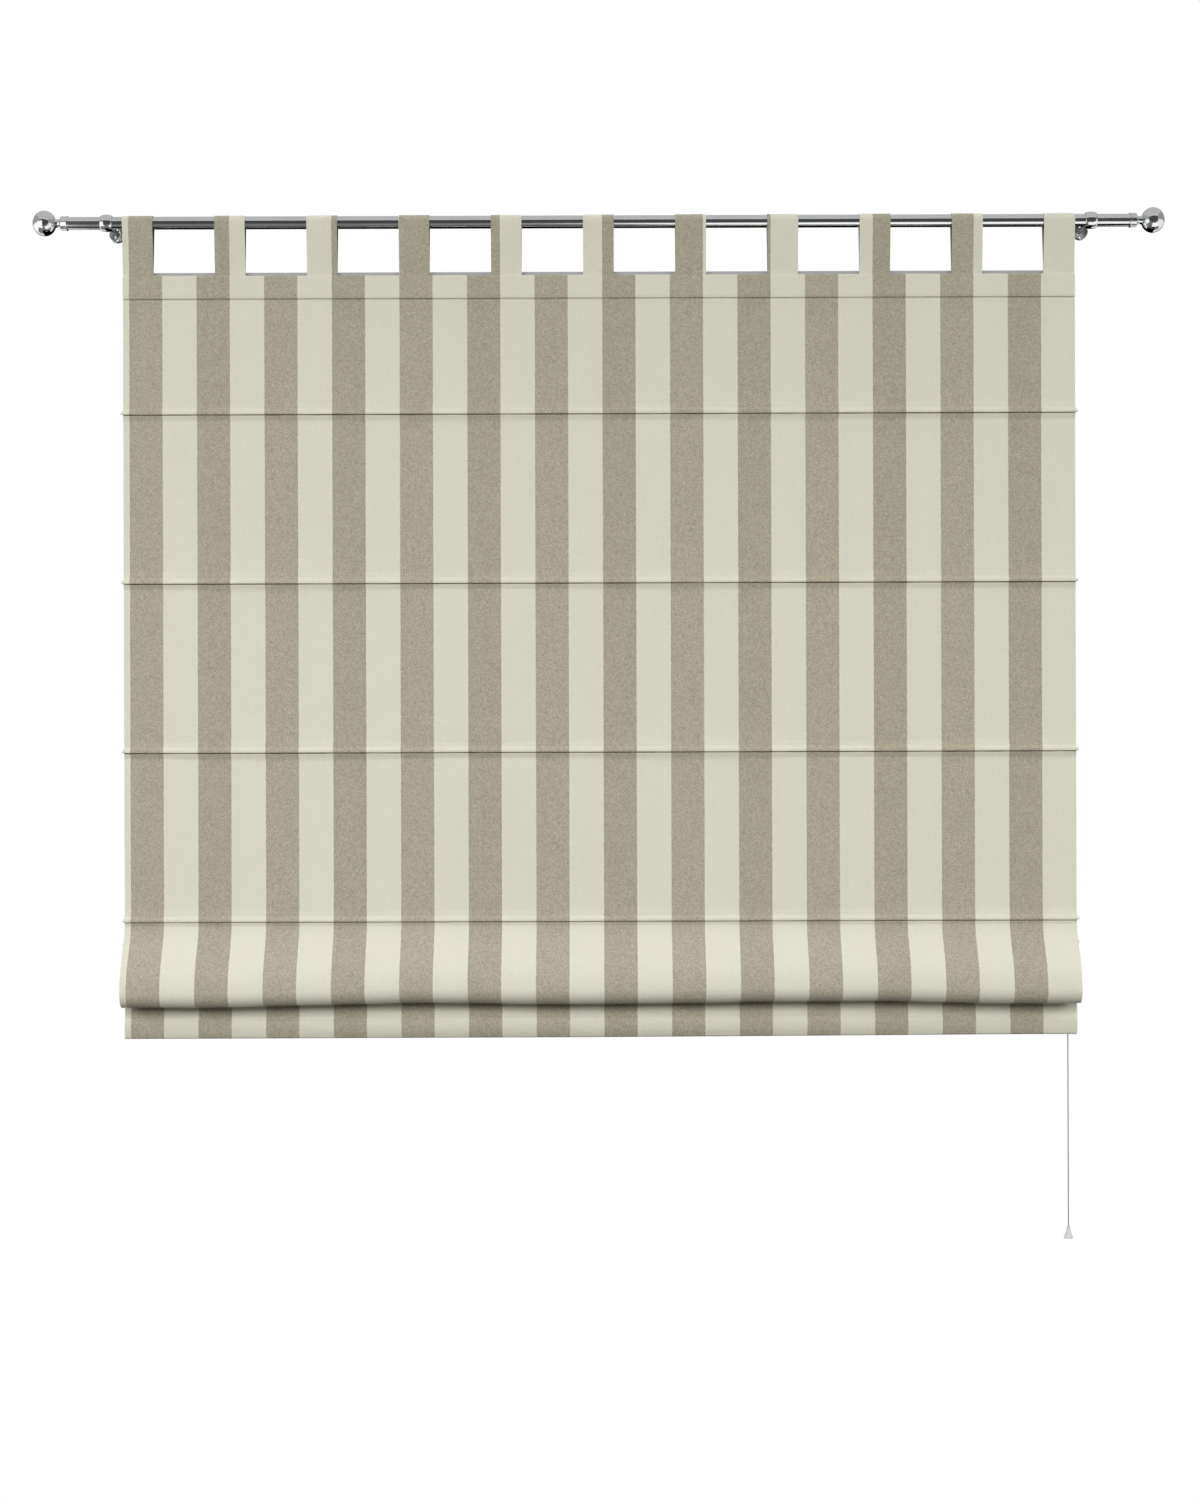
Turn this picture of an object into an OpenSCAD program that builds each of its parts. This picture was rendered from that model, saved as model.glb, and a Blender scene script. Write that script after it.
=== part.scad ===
// Roman blind with tab tops, hung on a metal pole, its lowest fold drawn up
// Millimetres: X to the right, Y towards the wall, Z up, the front faces minus Y
// The origin is on the wall, midway between the two wall roses, at pole height

/* [Cloth] */
// Width of the cloth
blind_w = 1500; // [900:10:2000]
// Thickness of the cloth
cloth_t = 1; // [0.8:0.1:1.2]
// From the pole's axis down to the header's top edge
tab_drop = 84; // [76:1:120]
// Height of the header band
header_h = 36; // [34:1:50]
// How far the header band stands in front of the cloth
header_step = 2; // [1:0.5:4]
// From the header's seam down to the first rod
first_fold = 180; // [120:1:260]
// From one rod down to the next
fold_pitch = 266.5; // [220:0.5:320]
// How far the drawn up fold stands out
loop_out = 49; // [40:1:60]
// From the fourth rod down to where the drawn up fold is fullest
loop_drop = 110.5; // [95:0.5:130]
// From the fourth rod down to the fifth, once drawn up
gather = 37.5; // [25:0.5:50]
// From the fifth rod down to the bottom edge
tail_h = 149; // [120:1:200]
// Height of the bottom hem
hem_h = 28; // [26:1:40]
// Width of the turned side hems
side_hem_w = 40; // [25:1:60]

/* [Stripes] */
// Width of the dark stripes
dark_w = 52.2; // [20:0.1:80]
// Width of the light stripes
light_w = 54.3; // [20:0.1:80]
// Light strip left of the first dark stripe
first_light = 9.8; // [2:0.1:50]

/* [Tabs] */
// Width of a tab
tab_w = 50; // [30:1:70]
// Thickness of a tab's cloth
tab_t = 1; // [0.8:0.1:1.2]
// How far a tab's ends run down behind the header
tab_tail = 26; // [15:1:28]

/* [Pole and brackets] */
// Diameter of the pole
pole_d = 20; // [16:0.5:25]
// Wall of the pole's tube
pole_wall = 1.2; // [0.8:0.1:2]
// From the wall out to the pole's axis
reach = 94; // [80:1:140]
// From the edge of the cloth to a bracket's middle
bracket_off = 26; // [18:1:60]
// Width of a bracket's ring along the pole
ring_w = 18.5; // [12:0.5:24]
// Thickness of a bracket's ring at its middle
ring_t = 3.35; // [2.5:0.05:5]
// Diameter of a bracket's arm
arm_d = 8.5; // [7:0.5:9]
// Diameter of a wall rose
rose_d = 26; // [26:1:40]
// Thickness of a wall rose
rose_t = 6; // [5:0.5:10]
// From a rose's middle to each of its screw holes
rose_hole_off = 8.6; // [8.6:0.1:12]
// Diameter of a rose's screw holes
rose_hole_d = 4; // [3:0.1:4.5]
// From a bracket's middle to the finial collar's inner end
collar_off = 60.5; // [30:0.5:120]
// Length of a finial's collar
collar_l = 12; // [10:0.5:20]
// Diameter of a finial's ball
ball_d = 40; // [30:1:60]
// Length of a finial's ball along the pole
ball_l = 37; // [28:1:60]

/* [Rods and bar] */
// Diameter of a fold rod
rod_d = 4; // [3:0.1:4.2]
// Height of the flat bar in the bottom hem
bar_h = 20; // [14:0.5:21]
// Thickness of the flat bar in the bottom hem
bar_t = 3; // [2:0.1:3.4]

/* [Lifting gear] */
// Diameter of a lift cord
lift_d = 1.4; // [1:0.1:1.4]
// Diameter of the pull cord
pull_d = 2; // [1.6:0.1:2.4]
// From the cloth's right edge to the pull cord
cord_inset = 13; // [13:0.5:20]
// From the pole's axis down to the bell's bottom edge
bell_z = 1606; // [1400:1:2200]
// Height of the bell
bell_h = 19; // [15:0.5:40]
// Diameter of the bell at its bottom edge
bell_d = 15; // [12:0.5:24]

/* [Hidden] */
$fn = 48;
eps = 0.01;
// clearances
slip = 0.3;
snug = 0.1;
// colours
dark_c = [0.66, 0.63, 0.56];
light_c = [0.84, 0.83, 0.76];
steel_c = [0.72, 0.73, 0.74];
alu_c = [0.78, 0.79, 0.80];
white_c = [0.93, 0.93, 0.92];
clear_c = [0.88, 0.90, 0.90];
brass_c = [0.80, 0.66, 0.38];
fibre_c = [0.90, 0.90, 0.86];
// counts
tab_n = 11;
rod_n = 5;
col_n = 4;
// heights, counted from the pole's axis
head_z = -tab_drop;
seam_z = head_z - header_h;
rod4_z = seam_z - first_fold - 3 * fold_pitch;
rod5_z = rod4_z - gather;
hem_z = rod5_z - tail_h;
rod_z = [for (i = [0:4]) i < 4 ? seam_z - first_fold - i * fold_pitch : rod5_z];
// depths, counted from the wall
pole_r = pole_d / 2;
cloth_y = -reach - 2;
face_y = cloth_y - cloth_t / 2;
back_y = cloth_y + cloth_t / 2;
// a rod's pocket is a bead on the front of the cloth
pocket_r = rod_d / 2 + slip;
bead_r = pocket_r + 0.8;
bead_y = face_y - slip - rod_d / 2;
// the drawn up fold
loop_front_y = cloth_y - loop_out;
loop_back_y = bead_y - bead_r + cloth_t / 2;
loop_r = (loop_back_y - loop_front_y) / 2;
// the bottom hem
hem_t = bar_t + 2 * slip + 2 * cloth_t;
// the side hems
side_t = 0.8;
// tabs
tab_pitch = (blind_w - tab_w) / (tab_n - 1);
tab_r = pole_r + slip + tab_t / 2;
tab_front_y = back_y + snug + tab_t / 2;
tab_back_y = tab_front_y + tab_t;
tab_join_z = head_z + slip;
// tape and batten behind the header
tape_y = tab_back_y + tab_t / 2 + snug;
tape_t = 2.6;
tape_z = head_z - 4;
batten_y = tape_y + tape_t + snug;
batten_t = 4;
batten_z = head_z + 6;
batten_h = header_h + 2;
batten_low = batten_z - batten_h;
// cords run in the batten's middle plane, side by side
cord_y = batten_y + batten_t / 2;
lane = lift_d + snug;
lane_y = [for (i = [0:3]) cord_y + (i - 1.5) * lane];
col_x = [for (i = [0:3]) blind_w * (-0.44 + i * 0.88 / 3)];
run_z = batten_low - 7;
bend_r = 4;
pull_x = blind_w / 2 - cord_inset;
// cord rings on the back of the cloth
cring_wire = 1;
cring_r = cord_y - back_y - slip - cring_wire;
// screw eyes under the batten
eye_wire = 0.9;
eye_r = 4.6;
eye_off = 8;
// cord lock under the batten's right end
lock_in = 3.75;
lock_wall = 1.2;
lock_out = lock_in + lock_wall;
lock_x0 = pull_x - 21;
lock_x1 = pull_x + 12;
lock_top = batten_low - snug;
lock_bot = lock_top - 30;
pulley_r = 4.5;
pulley_x = pull_x - pulley_r - lift_d / 2;
pulley_z = run_z - pulley_r - lift_d / 2;
pawl_x = pull_x + 7;
pawl_z = run_z - 11;
pin_r = 1.4;
// cord joiner, pull cord and bell
joiner_r = 5;
joiner_h = 24;
joiner_top = lock_bot - slip;
bell_top = -bell_z + bell_h;
stop_r = cring_r - cring_wire + 1.2;
stop_z = rod5_z - cring_wire - slip - stop_r;
// pole ends and finials
bracket_x = blind_w / 2 + bracket_off;
collar_x = bracket_x + collar_off;
pole_half = collar_x + collar_l - 3.5;
collar_r = pole_r + 1.1;
neck_r = 7;
neck_l = 8.4;
ball_x = collar_x + collar_l + neck_l + ball_l / 2 - 1.5;

// helpers

function unit(v) = v / norm(v);
function left_of(v) = [-v[1], v[0]];
function lead(p, i) = unit(i > 0 ? p[i] - p[i - 1] : p[1] - p[0]);
function trail(p, i) = unit(i < len(p) - 1 ? p[i + 1] - p[i] : p[i] - p[i - 1]);
function miter(p, i) = unit(left_of(lead(p, i)) + left_of(trail(p, i)));
function beside(p, i, h) = p[i] + miter(p, i) * h / (miter(p, i) * left_of(lead(p, i)));
// outline of a strip of cloth of thickness t that follows the line p
function ribbon(p, t) = concat(
  [for (i = [0:len(p) - 1]) beside(p, i, t / 2)],
  [for (i = [len(p) - 1:-1:0]) beside(p, i, -t / 2)]
);
function bezier(a, b, c, d, t) =
  a * pow(1 - t, 3) + b * 3 * t * pow(1 - t, 2) + c * 3 * t * t * (1 - t) + d * pow(t, 3);

// draws a Y Z outline and runs it along X from x0 to x1
module along_x(x0, x1) {
  translate([x0, 0, 0])
    rotate([90, 0, 90])
      linear_extrude(x1 - x0)
        children();
}

// every stripe as its left edge, its right edge and its colour
stripe_pitch = dark_w + light_w;
stripes = [
  for (k = [-1:ceil(blind_w / stripe_pitch)])
    for (c = [0, 1])
      let (x = -blind_w / 2 + first_light + k * stripe_pitch + c * dark_w)
        [x, x + (c == 0 ? dark_w : light_w), c == 0 ? dark_c : light_c]
];

// runs a Y Z outline along X in the cloth's stripes
module striped(x0, x1) {
  for (s = stripes) {
    a = max(s[0], x0);
    b = min(s[1], x1);
    if (b > a + eps)
      color(s[2])
        along_x(a, b)
          children();
  }
}

// box from two corners
module box(a, b) {
  translate(a)
    cube(b - a);
}

// rod along X
module bar_x(x0, x1, y, z, r) {
  translate([x0, y, z])
    rotate([0, 90, 0])
      cylinder(h = x1 - x0, r = r);
}

// rod along Y
module bar_y(y0, y1, x, z, r) {
  translate([x, y1, z])
    rotate([90, 0, 0])
      cylinder(h = y1 - y0, r = r);
}

// turns an outline of radius and length round the X axis
module turned_x() {
  rotate([0, 90, 0])
    rotate_extrude()
      children();
}

// mirrors the left half of the fittings
module to_side(left) {
  mirror([left ? 1 : 0, 0, 0])
    children();
}

// pole, finials and brackets

module pole() {
  color(steel_c)
    difference() {
      bar_x(-pole_half, pole_half, -reach, 0, pole_r);
      bar_x(-pole_half - 1, pole_half + 1, -reach, 0, pole_r - pole_wall);
    }
}

module finial_collar(left) {
  color(steel_c)
    to_side(left)
      translate([collar_x, -reach, 0])
        turned_x()
          polygon([
            [pole_r + 0.15, 0],
            [collar_r + 0.3, 0],
            [collar_r + 0.6, 0.5],
            [collar_r + 0.6, 2],
            [collar_r + 0.2, 2.6],
            [collar_r, 3],
            [collar_r, collar_l - 1.6],
            [collar_r - 1.6, collar_l],
            [neck_r, collar_l],
            [neck_r - 0.6, collar_l + neck_l / 2],
            [neck_r, collar_l + neck_l - snug],
            [3, collar_l + neck_l - snug],
            [3, collar_l + neck_l + 11],
            [0, collar_l + neck_l + 11],
            [0, collar_l - 3.3],
            [pole_r + 0.15, collar_l - 3.3]
          ]);
}

module finial_ball(left) {
  a = ball_l / 2;
  b = ball_d / 2;
  cut = collar_x + collar_l + neck_l - ball_x;
  steps = 40;
  start = acos(cut / a);
  color(steel_c)
    to_side(left)
      translate([ball_x, -reach, 0])
        turned_x()
          polygon(concat(
            [for (i = [0:steps]) let (w = start * (1 - i / steps)) [b * sin(w), a * cos(w)]],
            [[0, cut + 12], [3 + snug, cut + 12], [3 + snug, cut]]
          ));
}

module bracket(left) {
  steps = 24;
  rim = pole_r + 0.9;
  color(steel_c)
    to_side(left)
      translate([bracket_x, 0, 0])
        difference() {
          union() {
            translate([0, -reach, 0])
              turned_x()
                polygon(concat(
                  [[pole_r + 0.15, -ring_w / 2]],
                  [for (i = [0:steps]) let (w = 180 * i / steps)
                    [rim + (ring_t - 0.75) * sin(w), -ring_w / 2 * cos(w)]],
                  [[pole_r + 0.15, ring_w / 2]]
                ));
            bar_y(-reach + pole_r + 1.3, -1.5, 0, 0, arm_d / 2);
          }
          translate([0, -reach, -pole_r - ring_t - 1])
            cylinder(h = ring_t + 2, r = 2);
        }
}

module wall_rose(left) {
  r = rose_d / 2;
  color(steel_c)
    to_side(left)
      translate([bracket_x, 0, 0])
        difference() {
          rotate([90, 0, 0])
            rotate_extrude()
              polygon([[0, 0], [r, 0], [r, rose_t - 1.5], [r - 0.4, rose_t - 0.5], [r - 1, rose_t], [0, rose_t]]);
          bar_y(-rose_t - 1, -1.2, 0, 0, arm_d / 2 + snug);
          for (s = [-1, 1])
            translate([0, 0, s * rose_hole_off]) {
              bar_y(-rose_t - 1, 1, 0, 0, rose_hole_d / 2);
              translate([0, -rose_t - eps, 0])
                rotate([-90, 0, 0])
                  cylinder(h = 1.5, r1 = rose_hole_d / 2 + 1.5, r2 = rose_hole_d / 2);
            }
        }
}

module grub_screws() {
  color(steel_c)
    for (s = [-1, 1])
      translate([s * bracket_x, -reach, -pole_r - 0.1 - 3.1])
        difference() {
          cylinder(h = 3.1, r = 1.9);
          translate([0, 0, -eps])
            cylinder(h = 1.6, r = 1.1, $fn = 6);
        }
}

// cloth

// line of a tab: up the front, over the pole, down the back
function tab_line() =
  let (q = [tab_front_y + reach, tab_join_z],
       p = [tab_back_y + reach, tab_join_z],
       from = atan2(q[1], q[0]) - acos(tab_r / norm(q)) + 360,
       to = atan2(p[1], p[0]) + acos(tab_r / norm(p)),
       n = 28)
  concat(
    [[tab_front_y, tab_join_z]],
    [for (i = [0:n]) let (w = from + (to - from) * i / n) [-reach + tab_r * cos(w), tab_r * sin(w)]],
    [[tab_back_y, tab_join_z]]
  );

// outline of a tab's two ends, sewn together
module tab_ends() {
  translate([tab_front_y - tab_t / 2, head_z - tab_tail])
    square([2 * tab_t, tab_join_z - head_z + tab_tail + 0.4]);
}

module tab(i) {
  x0 = -blind_w / 2 + (i - 1) * tab_pitch;
  striped(x0, x0 + tab_w)
    polygon(ribbon(tab_line(), tab_t));
  striped(x0, x0 + tab_w)
    tab_ends();
}

// line of the drawn up fold, from below the fourth rod round to the fifth
function loop_line() =
  let (a = [cloth_y, rod4_z - bead_r + 0.5],
       d = [loop_front_y, rod4_z - loop_drop],
       n = 20,
       m = 18)
  concat(
    [for (i = [0:n - 1]) bezier(a, [cloth_y, rod4_z - 0.36 * loop_drop],
      [loop_front_y + 1, rod4_z - 0.54 * loop_drop], d, i / n)],
    [for (i = [0:m]) let (w = 180 + 180 * i / m)
      [loop_front_y + loop_r + loop_r * cos(w), d[1] + loop_r * sin(w)]],
    [[loop_back_y, rod5_z]]
  );

// outline of a rod's pocket
module bead(z) {
  translate([bead_y, z])
    circle(r = bead_r, $fn = 12);
}

module pocket(z) {
  translate([bead_y, z])
    circle(r = pocket_r, $fn = 12);
}

// outline of the whole cloth seen from its side
module cloth_outline() {
  difference() {
    union() {
      for (z = rod_z)
        bead(z);
      polygon(ribbon(loop_line(), cloth_t));
      translate([cloth_y - hem_t / 2, hem_z + 1.5])
        square([hem_t, hem_h - 3]);
      polygon([
        [cloth_y - hem_t / 2, hem_z + 1.6],
        [cloth_y - hem_t / 2 + 1.5, hem_z],
        [cloth_y + hem_t / 2 - 1.5, hem_z],
        [cloth_y + hem_t / 2, hem_z + 1.6]
      ]);
      polygon([
        [cloth_y - hem_t / 2, hem_z + hem_h - 1.6],
        [face_y - 0.4, hem_z + hem_h],
        [back_y + 0.4, hem_z + hem_h],
        [cloth_y + hem_t / 2, hem_z + hem_h - 1.6]
      ]);
    }
    for (z = rod_z)
      pocket(z);
    translate([cloth_y - bar_t / 2 - slip, hem_z + 2])
      square([bar_t + 2 * slip, bar_h + 2]);
  }
  translate([face_y, rod4_z - bead_r])
    square([cloth_t, head_z - rod4_z + bead_r]);
  translate([face_y, hem_z + hem_h - 1])
    square([cloth_t, rod5_z - hem_z - hem_h + 1]);
  polygon([
    [face_y + eps, head_z],
    [face_y - header_step + 0.8, head_z],
    [face_y - header_step, head_z - 0.8],
    [face_y - header_step, seam_z + 0.8],
    [face_y - header_step + 0.8, seam_z],
    [face_y + eps, seam_z]
  ]);
}

module blind_cloth() {
  striped(-blind_w / 2, blind_w / 2)
    cloth_outline();
  color(light_c)
    for (s = [0, 1])
      for (i = [0:3])
        to_side(s == 1)
          box([blind_w / 2 - side_hem_w, back_y - 0.2, rod_z[i] + bead_r],
              [blind_w / 2, back_y + side_t, (i > 0 ? rod_z[i - 1] : seam_z) - bead_r]);
}

// head parts

module hook_tape() {
  color(white_c)
    box([-blind_w / 2 + 4, tape_y, batten_low + 2],
        [blind_w / 2 - 4, tape_y + tape_t, tape_z]);
}

module head_batten() {
  color(alu_c)
    difference() {
      box([-blind_w / 2 + 2, batten_y, batten_low], [blind_w / 2 - 2, batten_y + batten_t, batten_z]);
      for (x = col_x)
        translate([x + eye_off, cord_y, batten_low - 1])
          cylinder(h = 14, r = 1.3);
      for (x = [lock_x0 + 4, lock_x1 - 5])
        translate([x, cord_y, batten_low - 1])
          cylinder(h = 10, r = 1.3);
    }
}

module screw_eyes() {
  color(steel_c)
    for (x = col_x)
      translate([x + eye_off, cord_y, 0]) {
        translate([0, 0, run_z])
          rotate([0, 90, 0])
            rotate_extrude()
              translate([eye_r, 0])
                circle(r = eye_wire, $fn = 24);
        translate([0, 0, run_z + eye_r])
          cylinder(h = batten_low - run_z - eye_r + 12, r = 1.2);
      }
}

module cord_lock() {
  color(white_c)
    difference() {
      box([lock_x0, cord_y - lock_out, lock_bot], [lock_x1, cord_y + lock_out, lock_top]);
      box([lock_x0 - 1, cord_y - lock_in, lock_bot - 1], [lock_x1 - lock_wall, cord_y + lock_in, lock_top - lock_wall]);
      translate([lock_x0, cord_y, lock_bot])
        rotate([0, 45, 0])
          cube([14, 3 * lock_out, 14], center = true);
      bar_y(cord_y - lock_out - 1, cord_y + lock_out + 1, pulley_x, pulley_z, pin_r + 0.05);
      bar_y(cord_y - lock_out - 1, cord_y + lock_out + 1, pawl_x, pawl_z, pin_r + 0.05);
      for (x = [lock_x0 + 4, lock_x1 - 5])
        translate([x, cord_y, lock_top - lock_wall - 1])
          cylinder(h = lock_wall + 2, r = 1.4);
    }
}

module lock_pulley() {
  color(brass_c)
    difference() {
      bar_y(cord_y - lock_in + 0.2, cord_y + lock_in - 0.2, pulley_x, pulley_z, pulley_r);
      bar_y(cord_y - lock_out, cord_y + lock_out, pulley_x, pulley_z, pin_r + 0.08);
    }
}

module lock_pawl() {
  tip = pull_x + lift_d / 2 + 0.4;
  color(brass_c)
    difference() {
      union() {
        bar_y(cord_y - lock_in + 0.25, cord_y + lock_in - 0.25, pawl_x, pawl_z, 3);
        translate([0, cord_y + lock_in - 0.25, 0])
          rotate([90, 0, 0])
            linear_extrude(2 * lock_in - 0.5)
              polygon([
                [pawl_x, pawl_z - 2.9],
                [pawl_x, pawl_z + 2.9],
                [tip + 0.6, pawl_z + 1.5],
                [tip, pawl_z + 0.9],
                [tip, pawl_z - 0.5],
                [tip + 0.6, pawl_z - 1.1]
              ]);
      }
      bar_y(cord_y - lock_out, cord_y + lock_out, pawl_x, pawl_z, pin_r + 0.08);
    }
}

module lock_pins() {
  color(steel_c)
    for (p = [[pulley_x, pulley_z], [pawl_x, pawl_z]]) {
      bar_y(cord_y - lock_out - 0.4, cord_y + lock_out + 0.4, p[0], p[1], pin_r);
      bar_y(cord_y - lock_out - 0.8, cord_y - lock_out - 0.05, p[0], p[1], 2.1);
      bar_y(cord_y + lock_out + 0.05, cord_y + lock_out + 0.8, p[0], p[1], 2.1);
    }
}

module lock_screws() {
  color(steel_c)
    for (x = [lock_x0 + 4, lock_x1 - 5])
      translate([x, cord_y, 0])
        difference() {
          union() {
            translate([0, 0, lock_top - lock_wall - 1.3])
              cylinder(h = 1.25, r = 2.2);
            translate([0, 0, lock_top - lock_wall - 0.5])
              cylinder(h = lock_wall + 8, r = 1.2);
          }
          translate([0, 0, lock_top - lock_wall - 1.3])
            cube([0.6, 6, 1.2], center = true);
        }
}

// rods, rings and bar

module rod(i) {
  half = blind_w / 2 + 2.8;
  color(fibre_c)
    bar_x(-half, half, bead_y, rod_z[i - 1], rod_d / 2);
}

module rod_caps(i) {
  color(white_c)
    for (s = [0, 1])
      to_side(s == 1)
        difference() {
          bar_x(blind_w / 2 + slip, blind_w / 2 + 3.8, bead_y, rod_z[i - 1], rod_d / 2 + 0.9);
          bar_x(blind_w / 2, blind_w / 2 + 2.9, bead_y, rod_z[i - 1], rod_d / 2 + 0.05);
        }
}

module cord_rings(i) {
  color(clear_c)
    for (x = col_x)
      translate([x, cord_y, rod_z[i - 1]])
        rotate_extrude()
          translate([cring_r, 0])
            circle(r = cring_wire, $fn = 24);
}

module bottom_bar() {
  half = blind_w / 2 - 5;
  color(steel_c)
    box([-half, cloth_y - bar_t / 2, hem_z + 3], [half, cloth_y + bar_t / 2, hem_z + 3 + bar_h]);
}

module bottom_bar_caps() {
  half = blind_w / 2 - 5;
  color(white_c)
    for (s = [0, 1])
      to_side(s == 1)
        box([half + 0.05, cloth_y - bar_t / 2 - 0.1, hem_z + 2.6],
            [half + 4, cloth_y + bar_t / 2 + 0.1, hem_z + 3.4 + bar_h]);
}

module cord_stops() {
  color(white_c)
    for (i = [0:3])
      difference() {
        translate([col_x[i], cord_y, stop_z])
          sphere(r = stop_r);
        translate([col_x[i], lane_y[i], stop_z - stop_r - 1])
          cylinder(h = 2 * stop_r + 2, r = lift_d / 2 + 0.15);
      }
}

// cords

// quarter bend in the X Z plane about a centre, from the start angle towards smaller angles
module bend(x, y, z, r, start) {
  translate([x, y, z])
    rotate([90, 0, 0])
      rotate([0, 0, start - 90])
        rotate_extrude(angle = 90)
          translate([r, 0])
            circle(r = lift_d / 2);
}

module lift_cord(i) {
  x = col_x[i - 1];
  y = lane_y[i - 1];
  low = stop_z - stop_r - 5;
  color(white_c) {
    translate([x, y, low])
      cylinder(h = run_z - bend_r - low, r = lift_d / 2);
    bend(x + bend_r, y, run_z - bend_r, bend_r, 180);
    bar_x(x + bend_r, pulley_x, y, run_z, lift_d / 2);
    bend(pulley_x, y, pulley_z, pulley_r + lift_d / 2, 90);
    translate([pull_x, y, joiner_top - 10])
      cylinder(h = pulley_z - joiner_top + 10, r = lift_d / 2);
  }
}

module cord_joiner() {
  r = 2 * lane + lift_d / 2 + 0.3;
  color(white_c)
    translate([pull_x, cord_y, joiner_top - joiner_h])
      rotate_extrude()
        polygon([
          [pull_d / 2 + 0.15, 0],
          [joiner_r - 1.6, 0],
          [joiner_r - 0.6, 1.5],
          [joiner_r, 4],
          [joiner_r, joiner_h - 2],
          [joiner_r - 0.6, joiner_h - 0.6],
          [joiner_r - 1.2, joiner_h],
          [r, joiner_h],
          [r, 7],
          [pull_d / 2 + 0.15, 4]
        ]);
}

module pull_cord() {
  top = joiner_top - joiner_h + 9;
  color(white_c)
    translate([pull_x, cord_y, 0]) {
      translate([0, 0, bell_top - 8])
        cylinder(h = top - bell_top + 8, r = pull_d / 2);
      translate([0, 0, top])
        sphere(r = 1.9);
    }
}

module cord_bell() {
  r = bell_d / 2;
  bore = pull_d / 2 + 0.2;
  steps = 16;
  color(white_c)
    translate([pull_x, cord_y, -bell_z])
      rotate_extrude()
        polygon(concat(
          [[r - 1.2, 0], [r, 0]],
          [for (i = [1:steps]) let (t = i / steps)
            [r - (r - bore - 1.4) * pow(sin(90 * t), 1.15), bell_h * t]],
          [[bore, bell_h], [bore, bell_h - 5], [bore + 1.6, bell_h - 5], [r - 1.9, 2.5]]
        ));
}

module bell_knot() {
  color(white_c)
    translate([pull_x, cord_y, bell_top - 7.6])
      difference() {
        sphere(r = 2.4);
        translate([0, 0, -4])
          cylinder(h = 8, r = pull_d / 2 + 0.02);
      }
}

pole();
finial_collar(true);  // finial_collar_left
finial_collar(false);  // finial_collar_right
finial_ball(true);  // finial_ball_left
finial_ball(false);  // finial_ball_right
bracket(true);  // bracket_left
bracket(false);  // bracket_right
wall_rose(true);  // wall_rose_left
wall_rose(false);  // wall_rose_right
grub_screws();
for (i = [1:tab_n]) tab(i);
blind_cloth();
hook_tape();
head_batten();
screw_eyes();
cord_lock();
lock_pulley();
lock_pawl();
lock_pins();
lock_screws();
for (i = [1:rod_n]) rod(i);
for (i = [1:rod_n]) rod_caps(i);
for (i = [1:rod_n]) cord_rings(i);
bottom_bar();
bottom_bar_caps();
cord_stops();
for (i = [1:col_n]) lift_cord(i);
cord_joiner();
pull_cord();
cord_bell();
bell_knot();
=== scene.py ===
"""Roman blind with tab tops on a metal pole, its lowest fold drawn up.

All lengths are in metres, in the frame of the solids: X right, Y towards the wall, Z up.
"""

import math

import bmesh
import bpy
import numpy as np
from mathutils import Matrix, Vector


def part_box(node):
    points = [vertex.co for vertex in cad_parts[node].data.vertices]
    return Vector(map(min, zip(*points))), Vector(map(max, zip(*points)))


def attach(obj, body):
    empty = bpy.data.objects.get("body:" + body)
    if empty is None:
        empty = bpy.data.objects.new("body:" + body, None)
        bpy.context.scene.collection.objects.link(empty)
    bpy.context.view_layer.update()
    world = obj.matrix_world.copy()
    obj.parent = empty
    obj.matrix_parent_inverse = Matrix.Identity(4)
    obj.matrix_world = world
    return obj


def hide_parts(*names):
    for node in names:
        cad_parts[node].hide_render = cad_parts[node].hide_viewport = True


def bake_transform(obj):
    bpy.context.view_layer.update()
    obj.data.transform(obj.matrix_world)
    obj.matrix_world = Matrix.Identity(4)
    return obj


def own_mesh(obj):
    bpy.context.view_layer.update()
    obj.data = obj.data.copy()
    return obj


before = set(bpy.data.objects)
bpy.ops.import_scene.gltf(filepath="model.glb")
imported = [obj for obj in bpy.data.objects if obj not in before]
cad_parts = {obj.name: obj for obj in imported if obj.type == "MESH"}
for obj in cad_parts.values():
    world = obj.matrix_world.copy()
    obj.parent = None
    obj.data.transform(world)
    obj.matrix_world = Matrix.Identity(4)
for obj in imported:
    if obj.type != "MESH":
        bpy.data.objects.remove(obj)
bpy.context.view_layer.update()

# Sizes that the solids give

MM = 0.001
cloth_low, cloth_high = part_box("blind_cloth")
HALF_W = cloth_high.x
HEAD_Z = cloth_high.z
HEM_Z = cloth_low.z
batten_low, batten_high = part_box("head_batten")
CORD_Y = (batten_low.y + batten_high.y) / 2
BATTEN_LOW = batten_low.z

# Sizes that follow the part's own drawing

CLOTH_T = 1.0 * MM
HEADER_H = 36 * MM
HEADER_STEP = 2 * MM
FIRST_FOLD = 180 * MM
FOLD_PITCH = 266.5 * MM
LOOP_DROP = 110.5 * MM
GATHER = 37.5 * MM
HEM_H = 28 * MM
HEM_T = 5.6 * MM
SIDE_HEM_W = 40 * MM
SLIP = 0.3 * MM
SNUG = 0.1 * MM
REACH = 94 * MM
POLE_R = 10 * MM
POLE_WALL = 1.2 * MM
ROD_R = 2 * MM
BEAD_R = 3.1 * MM
TAB_W = 50 * MM
TAB_T = 1.0 * MM
TAB_TAIL = 26 * MM
TAB_N = 11
ROD_N = 5
BRACKET_OFF = 26 * MM
LIFT_R = 0.7 * MM
PULL_R = 1.0 * MM
CORD_INSET = 13 * MM
EDGE = 0.3 * MM

# How finely the cloth is divided across its width

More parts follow.
